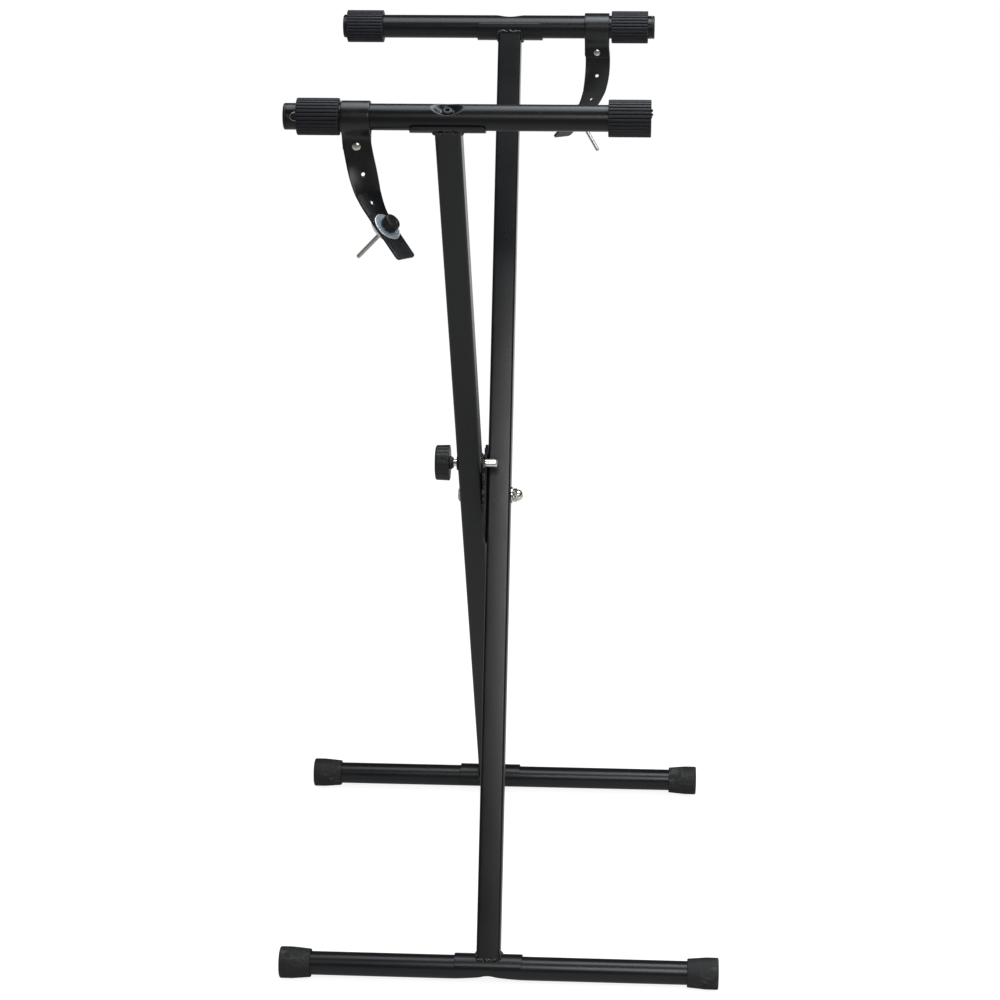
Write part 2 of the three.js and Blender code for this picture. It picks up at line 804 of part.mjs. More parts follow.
function placedOnStrap(geometry, { point, out }) {
  const turn = new THREE.Quaternion().setFromUnitVectors(new THREE.Vector3(0, 0, 1), out);
  return geometry.applyQuaternion(turn).translate(point.x, point.y, point.z);
}

function bandGeometry(path) {
  const corners = [];
  path.forEach(({ point, across, out }, i) => {
    const isEnd = i === 0 || i === path.length - 1;
    const half = strapWidth / 2 - (isEnd ? strapEndRound : 0);
    for (const [u, v] of [[-1, -1], [1, -1], [1, 1], [-1, 1]]) {
      const corner = point.clone().addScaledVector(across, u * half);
      corners.push(corner.addScaledVector(out, (v * strapThickness) / 2));
    }
  });
  const triangles = [];
  const quad = (a, b, c, d) => triangles.push(a, b, c, a, c, d);
  for (let i = 0; i < path.length - 1; i += 1) {
    for (let k = 0; k < 4; k += 1) {
      const next = (k + 1) % 4;
      quad(4 * i + k, 4 * i + next, 4 * (i + 1) + next, 4 * (i + 1) + k);
    }
  }
  quad(3, 2, 1, 0);
  const last = 4 * (path.length - 1);
  quad(last, last + 1, last + 2, last + 3);
  const geometry = new THREE.BufferGeometry().setFromPoints(corners);
  geometry.setIndex(triangles);
  return geometry;
}

function strapBand(path) {
  const tools = [];
  const reach = strapThickness + cutMargin;
  for (let i = 0; i <= strapHoles; i += 1) {
    const hole = rod(strapHoleDiameter / 2, -reach, reach, tinySides);
    tools.push(placedOnStrap(hole, strapFrameAt(path, strapScrewInset + i * strapHolePitch)));
  }
  const span = 2 * strapLayerOffset + reach;
  const rivetHole = rod(strapRivetDiameter / 2 + rivetGap, -span, span, tinySides);
  tools.push(rivetHole.rotateX(Math.PI / 2).translate(0, 0, -strapRivetDrop));
  return cut(bandGeometry(path), ...tools);
}

function strapRivet() {
  const face = strapLayerOffset + strapThickness / 2 + seatGap;
  const head = strapRivetHeadDiameter / 2;
  const crown = [];
  for (let i = 0; i < cornerSteps; i += 1) {
    const angle = (Math.PI / 2) * (i / cornerSteps);
    crown.push([head * Math.cos(angle), face + strapRivetHeadHeight * Math.sin(angle)]);
  }
  return turned([
    [0, -face - strapRivetTailHeight],
    [strapRivetTailDiameter / 2, -face - strapRivetTailHeight],
    [strapRivetTailDiameter / 2, -face],
    [strapRivetDiameter / 2, -face],
    [strapRivetDiameter / 2, face],
    ...crown,
    [0, face + strapRivetHeadHeight],
  ], smallSides).rotateX(Math.PI / 2).translate(0, 0, -strapRivetDrop);
}

// The thumb screw's pieces have +Z out of the band, with the origin in the middle of the band.
const washerSeat = strapThickness / 2 + seatGap;
const thumbSeat = washerSeat + screwWasherThickness + seatGap;

function thumbKnob() {
  const top = thumbSeat + thumbHeight;
  return turned([
    [0, thumbSeat + thumbBore + seatGap],
    [rodDiameter / 2 + seatGap, thumbSeat + thumbBore + seatGap],
    [rodDiameter / 2 + seatGap, thumbSeat],
    [thumbDiameter / 2 - thumbEdge / 2, thumbSeat],
    [thumbDiameter / 2, thumbSeat + thumbEdge / 2],
    ...roundedEdge(thumbDiameter / 2, top, thumbEdge),
    [0, top],
  ], smallSides);
}

function screwRod() {
  return turned([
    [0, -rodBehind],
    [rodDiameter / 2 - rodPoint, -rodBehind],
    [rodDiameter / 2, -rodBehind + rodPoint],
    [rodDiameter / 2, thumbSeat + thumbBore],
    [0, thumbSeat + thumbBore],
  ], tinySides);
}

function screwWasher(diameter, from) {
  return ring(strapHoleDiameter / 2, diameter / 2, from, from + screwWasherThickness, smallSides);
}

// ---------------------------------------------------------------- assembly

const stand = new THREE.Group();
const listed = (vector) => vector.toArray().map((value) => value.toFixed(listedDecimals)).join(' ');

function addTopBar(leg, name, hole, insets) {
  const joint = frame(leg, 0, 0, upperReach);
  const end = topBarLength / 2;
  const tube = topBarLength - 2 * (plugHead + seatGap);
  const holes = [-1, 1].map((side) => buttonHole(hole + side * (end - plugButtonInset)));
  piece(joint, `${name}_top_saddle`, saddle(), paint);
  piece(joint, `${name}_top_bar`, bar(hole, tube, holes), paint);
  piece(joint, `${name}_top_bolt`, barBolt(), blackSteel);
  piece(joint, `${name}_top_nut`, weldNut(), zinc);
  const level = frame(leg, hole, 0, upperReach);
  for (const [side, inset, key] of [[-1, insets[0], 'outer'], [1, insets[1], 'inner']]) {
    const plug = piece(joint, `${name}_top_plug_${key}`, endPlug(side), nylon);
    plug.position.x = hole + side * end;
    if (side < 0) plug.rotation.y = Math.PI;
    const sleeve = piece(level, `${name}_top_sleeve_${key}`, ribbedSleeve(), rubber);
    sleeve.position.x = side * (end - inset - sleeveLength / 2);
  }
  level.rotation.x = -legTilt;
}

function addBaseBar(leg, name, hole) {
  const joint = frame(leg, 0, 0, -lowerReach);
  const tube = baseBarLength - 2 * (capEndWall + seatGap);
  joint.rotation.x = Math.PI;
  piece(joint, `${name}_base_saddle`, saddle(), paint);
  piece(joint, `${name}_base_bar`, bar(hole, tube, []), paint);
  piece(joint, `${name}_base_bolt`, barBolt(), blackSteel);
  piece(joint, `${name}_base_nut`, weldNut(), zinc);
  const level = frame(leg, hole, 0, -lowerReach);
  level.rotation.x = -legTilt;
  for (const [side, key] of [[-1, 'outer'], [1, 'inner']]) {
    const cap = piece(level, `${name}_base_foot_${key}`, footCap(), rubber);
    cap.position.x = (side * baseBarLength) / 2;
    if (side < 0) cap.rotation.z = Math.PI;
  }
}

// A strap beside the outer sleeve of a top bar, whose bolt hole and sleeve inset are given.
function addStrap(leg, name, hole, inset, curl) {
  const offset = topBarLength / 2 - inset - sleeveLength - strapSleeveGap - strapWidth / 2;
  const level = frame(leg, hole - offset, 0, upperReach);
  level.rotation.x = -legTilt;
  const path = strapStations(curl);
  piece(level, `${name}_strap`, strapBand(path), nylon);
  piece(level, `${name}_strap_rivet`, strapRivet(), chrome);
  const seat = strapFrameAt(path, strapScrewInset);
  piece(level, `${name}_screw_knob`, placedOnStrap(thumbKnob(), seat), nylon);
  piece(level, `${name}_screw_rod`, placedOnStrap(screwRod(), seat), zinc);
  const front = screwWasher(frontWasherDiameter, washerSeat);
  const back = screwWasher(backWasherDiameter, -washerSeat - screwWasherThickness);
  piece(level, `${name}_screw_washer`, placedOnStrap(front, seat), zinc);
  piece(level, `${name}_screw_pad`, placedOnStrap(back, seat), whiteNylon);
  level.updateWorldMatrix(true, false);
  const centre = seat.point.clone().applyMatrix4(level.matrixWorld);
  const axis = seat.out.clone().transformDirection(level.matrixWorld);
  console.log(`${name} thumb screw: on its axis ${listed(centre)}, axis ${listed(axis)}`);
}

function crushSleeve() {
  const half = halfLeg - legWall - seatGap;
  return ringAlongX(pivotHoleRadius, pivotHoleRadius + crushSleeveWall, -half, half);
}

// Leg A
const legA = frame(stand, gapOffset - legSpacing / 2, 0, pivotHeight);
legA.rotation.x = legTilt;
piece(legA, 'leg_a_tube', legTube([
  rodAlongX(guideBarrelRadius + seatGap, 0, legWidth).translate(0, 0, pinReach),
  rodAlongX(gripBarrelRadius + seatGap, -legWidth, 0).translate(0, 0, pinReach),
]), paint);
piece(legA, 'leg_a_crush_sleeve', crushSleeve(), zinc);
addTopBar(legA, 'front', frontTopHole, [frontLeftInset, frontRightInset]);
addBaseBar(legA, 'rear', rearBaseHole);
addStrap(legA, 'front', frontTopHole, frontLeftInset, frontCurl);

// Leg B, half a turn about the vertical from leg A
const turnedFrame = frame(stand, gapOffset + legSpacing / 2, 0, pivotHeight);
turnedFrame.rotation.z = Math.PI;
const legB = frame(turnedFrame);
legB.rotation.x = legTilt;
const discStart = halfLeg + seatGap;
const discFace = discStart + discThickness;
const wallHole = (radius) => rodAlongX(radius, 0, legWidth);
piece(legB, 'leg_b_tube', legTube([
  aroundPivot(wallHole(pinDiameter / 2 + storageHoleGap), pinReach, notchAngle(-notchesEachWay)),
  ...[-1, 1].map((side) => wallHole(discRivetDiameter / 2 + rivetGap).translate(0, 0, side * discRivetReach)),
]), paint);
piece(legB, 'leg_b_crush_sleeve', crushSleeve(), zinc);
addTopBar(legB, 'rear', rearTopHole, [rearRightInset, rearLeftInset]);
addBaseBar(legB, 'front', frontBaseHole);
addStrap(legB, 'rear', rearTopHole, rearRightInset, rearCurl);
piece(legB, 'locking_disc', lockingDisc(discStart), blackSteel);
piece(legB, 'disc_rivet_upper', discRivet(discFace).translate(0, 0, discRivetReach), zinc);
piece(legB, 'disc_rivet_lower', discRivet(discFace).translate(0, 0, -discRivetReach), zinc);

// Pivot, on leg A
const farFace = halfLeg + legSpacing;
const pivotWasherSeat = farFace + seatGap;
const acornSeat = pivotWasherSeat + pivotWasherThickness + seatGap;
const boltEnd = acornSeat + acornHexHeight + acornDomeDiameter / 2 - acornTopWall - seatGap;
piece(legA, 'pivot_bolt', pivotBolt(boltEnd), zinc);
piece(legA, 'pivot_friction_washer', ringAlongX(
  pivotHoleRadius,
  frictionWasherDiameter / 2,
  halfLeg + seatGap,
  halfLeg + seatGap + frictionWasherThickness,
), nylon);
piece(legA, 'pivot_washer', ringAlongX(
  pivotHoleRadius,
  pivotWasherDiameter / 2,
  pivotWasherSeat,
  pivotWasherSeat + pivotWasherThickness,
), chrome);
piece(legA, 'pivot_acorn_nut', acornNut(acornSeat, boltEnd), chrome);

// Pull pin, on leg A
const pinFrame = frame(legA, 0, 0, pinReach);
piece(pinFrame, 'pin_guide_bushing', bushing(
  pinHoleRadius, guideBarrelRadius, bushingFlangeDiameter / 2, bushingFlange,
), nylon);
const gripBushing = bushing(shaftHoleRadius, gripBarrelRadius, gripBushingDiameter / 2, gripBushingFlange);
piece(pinFrame, 'pin_grip_bushing', gripBushing.rotateZ(Math.PI), nylon);
piece(pinFrame, 'pull_pin', pullPin(), chrome);
piece(pinFrame, 'pull_knob', pullKnob(), nylon);
piece(pinFrame, 'pin_spring', returnSpring(), zinc);

export default stand;
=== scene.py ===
"""Looks of the folding keyboard stand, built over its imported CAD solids.

Shapes are written in millimetres, each in the frame of the leg, bar or strap that it belongs to,
and every finished piece keeps its place in its own mesh.
"""

import math

import bmesh
import bpy
import numpy as np
from mathutils import Matrix, Vector


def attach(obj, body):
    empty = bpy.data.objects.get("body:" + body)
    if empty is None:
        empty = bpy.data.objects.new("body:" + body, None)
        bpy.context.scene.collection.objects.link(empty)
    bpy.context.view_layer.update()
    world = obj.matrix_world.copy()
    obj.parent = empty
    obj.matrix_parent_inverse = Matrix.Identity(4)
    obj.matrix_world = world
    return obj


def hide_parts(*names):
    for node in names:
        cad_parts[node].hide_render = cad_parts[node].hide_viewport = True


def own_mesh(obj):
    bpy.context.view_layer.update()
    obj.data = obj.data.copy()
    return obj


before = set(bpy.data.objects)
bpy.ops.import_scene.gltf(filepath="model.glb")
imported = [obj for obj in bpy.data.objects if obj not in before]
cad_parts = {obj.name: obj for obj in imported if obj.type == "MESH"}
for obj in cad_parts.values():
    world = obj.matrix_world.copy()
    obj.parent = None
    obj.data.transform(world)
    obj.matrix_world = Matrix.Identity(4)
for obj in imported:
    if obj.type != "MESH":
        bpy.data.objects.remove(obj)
scene = bpy.context.scene
MM = 0.001

# ---------------------------------------------------------------- sizes, in millimetres

GAP = 0.3
RUN_GAP = 0.35
LEG_TILT = math.radians(26.9)
UPPER_REACH = 527.6
LOWER_REACH = 511.9
LEG_GAP = 4.4
GAP_OFFSET = -14.0
LEG_WIDTH = 25.4
LEG_WALL = 1.5
LEG_CORNER = 3.0
LEG_CROWN = 0.18
HALF_LEG = LEG_WIDTH / 2

BAR_RADIUS = 12.7
BAR_WALL = 1.2
TOP_BAR_LENGTH = 348.5
BASE_BAR_LENGTH = 473.0
BOLT_OFFSETS = {"front_top": 16.9, "rear_top": 12.9, "rear_base": 17.4, "front_base": -10.6}

WELD_BEAD = 1.7
WELD_PITCH = 2.3
WELD_SPREAD = 0.7
WELD_SEEDS = {"leg_a": 5, "leg_b": 9}

SADDLE_LENGTH = 73.0
SADDLE_WALL = 2.0
SADDLE_CORNER = 4.0
SADDLE_INNER = BAR_RADIUS + GAP
SADDLE_OUTER = SADDLE_INNER + SADDLE_WALL
COPE_RADIUS = SADDLE_OUTER + GAP

BOLT_HEAD_RADIUS = 5.45
BOLT_HEAD_HEIGHT = 2.2
BOLT_SOCKET = 4.0
BOLT_SHANK_RADIUS = 3.0
BOLT_LENGTH = 33.5
DIMPLE_FLOOR_RADIUS = 6.5
DIMPLE_FLOOR_HEIGHT = 6.6
DIMPLE_MOUTH_RADIUS = 14.5
DIMPLE_NARROW = {"top": 1.25, "base": 1.12}
DIMPLE_SOFTNESS = {"top": 2.0, "base": 1.2}
DIMPLE_RIDGE_HEIGHT = 9.6
DIMPLE_RIDGE_REACH = 31.0
DIMPLE_REGION = {"top": 26.0, "base": 44.0}

PLUG_HEAD = 3.0
PLUG_EDGE = 2.4
PLUG_SKIRT = 18.0
PLUG_WALL = 2.0
BUTTON_RADIUS = 3.8
BUTTON_INSET = 11.5
BUTTON_LIFT = math.radians(38)

SLEEVE_RADIUS = 17.75
SLEEVE_ENDS = {
    "front": {"outer": (13.0, 53.5), "inner": (-2.4, 38.1)},
    "rear": {"outer": (7.4, 47.9), "inner": (4.5, 45.0)},
}
SLEEVE_RIBS = 30
SLEEVE_RIB_DEPTH = 1.3
SLEEVE_CREST = 0.5

CAP_RADIUS = 17.0
CAP_MOUTH_RADIUS = 15.25
CAP_LENGTH = 34.0
CAP_STRAIGHT = 14.0
CAP_END_WALL = 4.0
CAP_FLAT = 0.8
FOOT_HEIGHT = CAP_RADIUS - CAP_FLAT
PIVOT_HEIGHT = FOOT_HEIGHT + LOWER_REACH * math.cos(LEG_TILT)

PIVOT_RADIUS = 4.0
PIVOT_HEAD_RADIUS = 8.0
PIVOT_HEAD_HEIGHT = 2.5
ACORN_WIDTH = 13.0
ACORN_HEX_HEIGHT = 5.0
ACORN_DOME_RADIUS = 6.2
ACORN_CROWN = 2.0
PIVOT_WASHER_RADIUS = 9.0
PIVOT_WASHER_THICKNESS = 1.6
FRICTION_WASHER_RADIUS = 12.0
FRICTION_WASHER_THICKNESS = 1.0
PIVOT_SOCKET = 5.0

DISC_RADIUS = 55.0
DISC_THICKNESS = 2.5
FOLD_STEP = math.radians(16)
NOTCHES_EACH_WAY = 3
DISC_RIVET_REACH = 28.0
DISC_RIVET_RADIUS = 2.2
DISC_RIVET_HEAD = 4.0
DISC_RIVET_HEIGHT = 0.8

PIN_REACH = 50.0
PIN_RADIUS = 4.75
PIN_HOLE_RADIUS = PIN_RADIUS + RUN_GAP
PIN_STORE_RADIUS = PIN_RADIUS + 0.5
PIN_NOSE = 16.6
PIN_SHAFT_RADIUS = 4.0
SHAFT_BORE_RADIUS = PIN_SHAFT_RADIUS + RUN_GAP
PIN_COLLAR_RADIUS = 7.0
PIN_COLLAR_THICKNESS = 2.0
PIN_NOSE_ROUND = 4.3
BUSHING_WALL = 2.0
GUIDE_FLANGE_RADIUS = 11.0
GUIDE_FLANGE = 1.0
GRIP_FLANGE_RADIUS = 8.0
GRIP_FLANGE = 1.5
PIN_STANDOFF = 9.3
KNOB_RADIUS = 19.35
KNOB_THICKNESS = 15.4
KNOB_EDGE = 5.6
KNOB_BORE = 10.0
KNOB_HUB_RADIUS = 7.0
KNOB_HUB_HEIGHT = 4.0
KNOB_FLUTES = 16
KNOB_FLUTE_DEPTH = 0.5
KNOB_FLUTE_CREST = 0.46

STRAP_WIDTH = 28.8
STRAP_BAND_WIDTHS = {"front": 27.9, "rear": 27.4}
STRAP_THICKNESS = 2.4
STRAP_SEATS = {"front": 54.9, "rear": 49.8}
STRAP_PINCH = 24.0
STRAP_TAIL = 34.0
STRAP_RIVET_DROP = 28.0
STRAP_LEAVE = math.radians(35)
STRAP_BLADE = 52.0
STRAP_END_ROUND = 3.5
STRAP_SCREW_INSET = 36.5
STRAP_HOLE_PITCH = 28.5
STRAP_HOLE_RADIUS = 2.4
STRAP_FREE_HOLE_RADIUS = 1.92
STRAP_TWIST_START = 0.16
STRAP_CURLS = {
    "front": {"across": 19.2, "lean": 3.5, "twist": math.radians(51.4)},
    "rear": {"across": 11.7, "lean": -3.5, "twist": math.radians(36)},
}
STRAP_CURL_OUT = 7.2
STRAP_CURL_DOWN = 70.2
STRAP_START_PULL = 25.0
STRAP_END_PULL = 15.0
STRAP_BLADE_RUN = Vector((0.57, -0.43, -0.7)).normalized()
STRAP_LOOP_RADIUS = SADDLE_INNER + STRAP_THICKNESS / 2
STRAP_LAYER = (STRAP_THICKNESS + GAP) / 2

RIVET_HEAD_RADIUS = 4.35
RIVET_SHANK_RADIUS = 2.0
THUMB_RADIUS = 8.6
THUMB_HEIGHT = 9.5
ROD_RADIUS = 2.1
ROD_BEHIND = 46.6
THREAD_PITCH = 0.9
THREAD_DEPTH = 0.07
FRONT_WASHER_RADIUS = 14.8
BACK_WASHER_RADIUS = 15.9
SCREW_WASHER_THICKNESS = 1.2
WASHER_RIM = 0.95

# ---------------------------------------------------------------- places


def move(x=0.0, y=0.0, z=0.0):
    return Matrix.Translation((x, y, z))


def turn(axis, angle):
    return Matrix.Rotation(angle, 4, axis)


LEG_SPACING = LEG_WIDTH + LEG_GAP
LEG_PLACES = {
    "leg_a": move(GAP_OFFSET - LEG_SPACING / 2, 0, PIVOT_HEIGHT) @ turn("X", LEG_TILT),
    "leg_b": move(GAP_OFFSET + LEG_SPACING / 2, 0, PIVOT_HEIGHT) @ turn("Z", math.pi) @ turn("X", LEG_TILT),
}
LEG_OF_BAR = {"front_top": "leg_a", "rear_base": "leg_a", "rear_top": "leg_b", "front_base": "leg_b"}


def joint_place(bar):
    """The frame of the joint between a leg and a bar: +Z points away from the leg."""
    leg = LEG_PLACES[LEG_OF_BAR[bar]]
    if bar.endswith("top"):
        return leg @ move(0, 0, UPPER_REACH)
    return leg @ move(0, 0, -LOWER_REACH) @ turn("X", math.pi)


def level_place(bar, along):
    """The same bar's axis at a distance along it from the leg, with +Z straight up."""
    reach = UPPER_REACH if bar.endswith("top") else -LOWER_REACH
    return LEG_PLACES[LEG_OF_BAR[bar]] @ move(along, 0, reach) @ turn("X", -LEG_TILT)


# ---------------------------------------------------------------- shaping


def eased(corners, steps=4, loop=False):
    """A polyline of [x, y, radius] corners with each corner rounded by its radius."""
    points = []
    count = len(corners)
    for i, corner in enumerate(corners):
        here = Vector(corner[:2])
        radius = corner[2] if len(corner) > 2 else 0
        if radius <= 0 or (not loop and i in (0, count - 1)):
            points.append(tuple(here))
            continue
        back = Vector(corners[i - 1][:2]) - here
        ahead = Vector(corners[(i + 1) % count][:2]) - here
        room = 0.49 * min(back.length, ahead.length)
        back.normalize()
        ahead.normalize()
        half = back.angle(ahead) / 2
        if half > 1.55:
            points.append(tuple(here))
            continue
        run = min(radius / math.tan(half), room)
        centre = here + (back + ahead).normalized() * (run / math.cos(half))
        first = here + back * run - centre
        last = here + ahead * run - centre
        sweep = first.angle_signed(last)
        for k in range(steps + 1):
            angle = -sweep * k / steps
            c, s = math.cos(angle), math.sin(angle)
            points.append((centre.x + first.x * c - first.y * s, centre.y + first.x * s + first.y * c))
    return points


def loft(rows, closed_rows=True, closed_ends=False, capped=False):
    """A skin over rows of points. Rows are loops, and the ends are joined, capped or left open."""
    rows = [[tuple(p) for p in row] for row in rows]
    width = len(rows[0])
    points = [p for row in rows for p in row]
    faces = []
    last = len(rows) if closed_ends else len(rows) - 1
    around = width if closed_rows else width - 1
    for i in range(last):
        a, b = i * width, ((i + 1) % len(rows)) * width
        for k in range(around):
            n = (k + 1) % width
            faces.append((a + k, a + n, b + n, b + k))
    if capped:
        faces.append(tuple(range(width - 1, -1, -1)))
        faces.append(tuple(range((len(rows) - 1) * width, len(rows) * width)))
    return points, faces


def turned(profile, sides=64):
    """A body turned about Z from a closed profile of (radius, height) points."""
    rows = []
    for radius, height in profile:
        rows.append([
            (radius * math.cos(2 * math.pi * k / sides), radius * math.sin(2 * math.pi * k / sides), height)
            for k in range(sides)
        ])
    on_axis = profile[0][0] < 1e-6 and profile[-1][0] < 1e-6
    return loft(rows, closed_ends=not on_axis)


def ring(inner, outer, low, high, edge=0.3, sides=64):
    corners = [(inner, low, edge), (outer, low, edge), (outer, high, edge), (inner, high, edge)]
    return turned(eased(corners, 3, loop=True), sides)


def rod(radius, low, high, edge=0.3, sides=48):
    corners = [(0, low), (radius, low, edge), (radius, high, edge), (0, high)]
    return turned(eased(corners, 3), sides)


def prism(outline, low, high):
    rows = [[(x, y, z) for x, y in outline] for z in (low, high)]
    return loft(rows, capped=True)


def hexagon(across_flats):
    radius = across_flats / 2 / math.cos(math.pi / 6)
    return [(radius * math.cos(k * math.pi / 3), radius * math.sin(k * math.pi / 3)) for k in range(6)]


ALONG_X = turn("Y", math.pi / 2)


def make(name, shape, finish=None, place=Matrix.Identity(4), crease=34):
    """An object from a shape in millimetres, put in its place, with clean outward faces."""
    points, faces = shape
    mesh = bpy.data.meshes.new(name)
    mesh.from_pydata([tuple(place @ Vector(p) * MM) for p in points], [], faces)
    tidy_skin(mesh, crease)
    if finish is not None:
        mesh.materials.append(finish)
    obj = bpy.data.objects.new(name, mesh)
    scene.collection.objects.link(obj)
    return obj


def tidy_skin(mesh, crease):
    skin = bmesh.new()
    skin.from_mesh(mesh)
    bmesh.ops.remove_doubles(skin, verts=skin.verts, dist=1e-7)
    bmesh.ops.recalc_face_normals(skin, faces=skin.faces)
    skin.to_mesh(mesh)
    skin.free()
    mesh.shade_smooth()
    mesh.set_sharp_from_angle(angle=math.radians(crease))


def bake(obj):
    """Turns what the modifiers give into a plain mesh."""
    graph = bpy.context.evaluated_depsgraph_get()
    graph.update()
    made = bpy.data.meshes.new_from_object(
        obj.evaluated_get(graph), preserve_all_data_layers=True, depsgraph=graph
    )
    obj.modifiers.clear()
    old = obj.data
    obj.data = made
    bpy.data.meshes.remove(old)
    return obj


def remove(obj):
    mesh = obj.data
    bpy.data.objects.remove(obj)
    bpy.data.meshes.remove(mesh)


def shaped(obj, operation, tools, crease=34):
    """Cuts the tools from a piece, or keeps what it shares with them. Each tool is (shape, place)."""
    cutters = [make(f"tool_{k}", shape, None, place) for k, (shape, place) in enumerate(tools)]
    for cutter in cutters:
        step = obj.modifiers.new("shape", "BOOLEAN")
        step.operation = operation
        step.solver = "EXACT"
        step.object = cutter
    bake(obj)
    for cutter in cutters:
        remove(cutter)
    obj.data.shade_smooth()
    obj.data.set_sharp_from_angle(angle=math.radians(crease))
    return obj


def even_shading(obj):
    """Keeps flat faces flat beside their rounded corners."""
    step = obj.modifiers.new("shading", "WEIGHTED_NORMAL")
    step.keep_sharp = True
    step.weight = 60
    return bake(obj)


def softened(obj, width, segments=2, angle=35):
    step = obj.modifiers.new("edges", "BEVEL")
    step.width = width * MM
    step.segments = segments
    step.limit_method = "ANGLE"
    step.angle_limit = math.radians(angle)
    step.harden_normals = False
    return bake(obj)


def settle(obj, place):
    """Moves a piece that was shaped at the origin to its place, in its mesh."""
    shift = Matrix.Translation(place.to_translation() * MM)
    obj.data.transform(shift @ place.to_3x3().to_4x4())
    obj.data.update()
    return obj


def joined(name, objs):
    """Several skins of one real piece as one object."""
    whole = bmesh.new()
    for obj in objs:
        whole.from_mesh(obj.data)
    mesh = bpy.data.meshes.new(name)
    whole.to_mesh(mesh)
    whole.free()
    for material in objs[0].data.materials:
        mesh.materials.append(material)
    for obj in objs:
        remove(obj)
    obj = bpy.data.objects.new(name, mesh)
    scene.collection.objects.link(obj)
    mesh.set_sharp_from_angle(angle=math.radians(34))
    return obj


def dress(obj, body, slot, *nodes):
    """Fixes a finished piece to its CAD body in the place of the nodes that it stands for."""
    obj.data.name = obj.name
    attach(obj, body)
    if nodes:
        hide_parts(*nodes)
    return obj


# ---------------------------------------------------------------- node building


def wire(tree, socket, value):
    if isinstance(value, bpy.types.NodeSocket):
        tree.links.new(value, socket)
    elif value is not None:
        socket.default_value = value


class Growth:
    """A Geometry Nodes tree with named inputs, used through grow()."""

    def __init__(self, name, inputs):
        self.tree = bpy.data.node_groups.new(name, "GeometryNodeTree")
        face = self.tree.interface
        face.new_socket("Geometry", in_out="INPUT", socket_type="NodeSocketGeometry")
        for label, kind, default in [*inputs, ("Finish", "NodeSocketMaterial", None)]:
            socket = face.new_socket(label, in_out="INPUT", socket_type=kind)
            if default is not None:
                socket.default_value = default
        face.new_socket("Geometry", in_out="OUTPUT", socket_type="NodeSocketGeometry")
        self.inputs = self.tree.nodes.new("NodeGroupInput").outputs

    def add(self, kind, *values, **settings):
        node = self.tree.nodes.new(kind)
        for key, value in settings.items():
            setattr(node, key, value)
        for socket, value in zip(node.inputs, values):
            wire(self.tree, socket, value)
        return node

    def sum(self, operation, *values):
        return self.add("ShaderNodeMath", *values, operation=operation).outputs[0]

    def between(self, value, low, high, to_low=0.0, to_high=1.0, soft=True):
        node = self.add("ShaderNodeMapRange", value, low, high, to_low, to_high)
        node.interpolation_type = "SMOOTHSTEP" if soft else "LINEAR"
        return node.outputs[0]

    def point(self):
        place = self.add("GeometryNodeInputPosition").outputs[0]
        return self.add("ShaderNodeSeparateXYZ", place).outputs[:3]

    def round_axis(self, first, second):
        """How far a point is from the axis, and its share of a turn about it."""
        squares = [self.sum("MULTIPLY", way, way) for way in (first, second)]
        share = self.sum("DIVIDE", self.sum("ARCTAN2", first, second), 2 * math.pi)
        return self.sum("SQRT", self.sum("ADD", *squares)), share

    def inward(self, radius, press):
        """The factor that draws a point towards the axis by the press."""
        return self.sum("MULTIPLY", self.sum("DIVIDE", press, self.sum("MAXIMUM", radius, 1e-6)), -1.0)

    def shifted(self, *offset):
        """The tree's geometry with its points moved by three numbers or sockets, as its result."""
        shift = self.add("ShaderNodeCombineXYZ", *offset)
        moved = self.add("GeometryNodeSetPosition")
        wire(self.tree, moved.inputs["Geometry"], self.inputs["Geometry"])
        wire(self.tree, moved.inputs["Offset"], shift.outputs[0])
        return self.finish(moved.outputs[0])

    def random(self, low, high, seed):
        node = self.add("FunctionNodeRandomValue", data_type="FLOAT_VECTOR")
        node.inputs[0].default_value = low
        node.inputs[1].default_value = high
        wire(self.tree, node.inputs["Seed"], seed)
        return node.outputs[0]

    def finish(self, geometry):
        real = self.add("GeometryNodeRealizeInstances", geometry).outputs[0]
        painted = self.add("GeometryNodeSetMaterial")
        wire(self.tree, painted.inputs["Geometry"], real)
        wire(self.tree, painted.inputs["Material"], self.inputs["Finish"])
        out = self.tree.nodes.new("NodeGroupOutput")
        wire(self.tree, out.inputs[0], painted.outputs[0])
        return self.tree


def grow(obj, tree, finish, crease=34, **values):
    """Runs a Geometry Nodes tree on a piece with its inputs set, and keeps the plain mesh."""
    step = obj.modifiers.new("grow", "NODES")
    step.node_group = tree
    wanted = {"Finish": finish, **{key.replace("_", " "): value for key, value in values.items()}}
    for socket in tree.interface.items_tree:
        if socket.item_type == "SOCKET" and socket.in_out == "INPUT" and socket.name in wanted:
            step[socket.identifier] = wanted[socket.name]
    bake(obj)
    obj.data.shade_smooth()
    obj.data.set_sharp_from_angle(angle=math.radians(crease))
    return obj


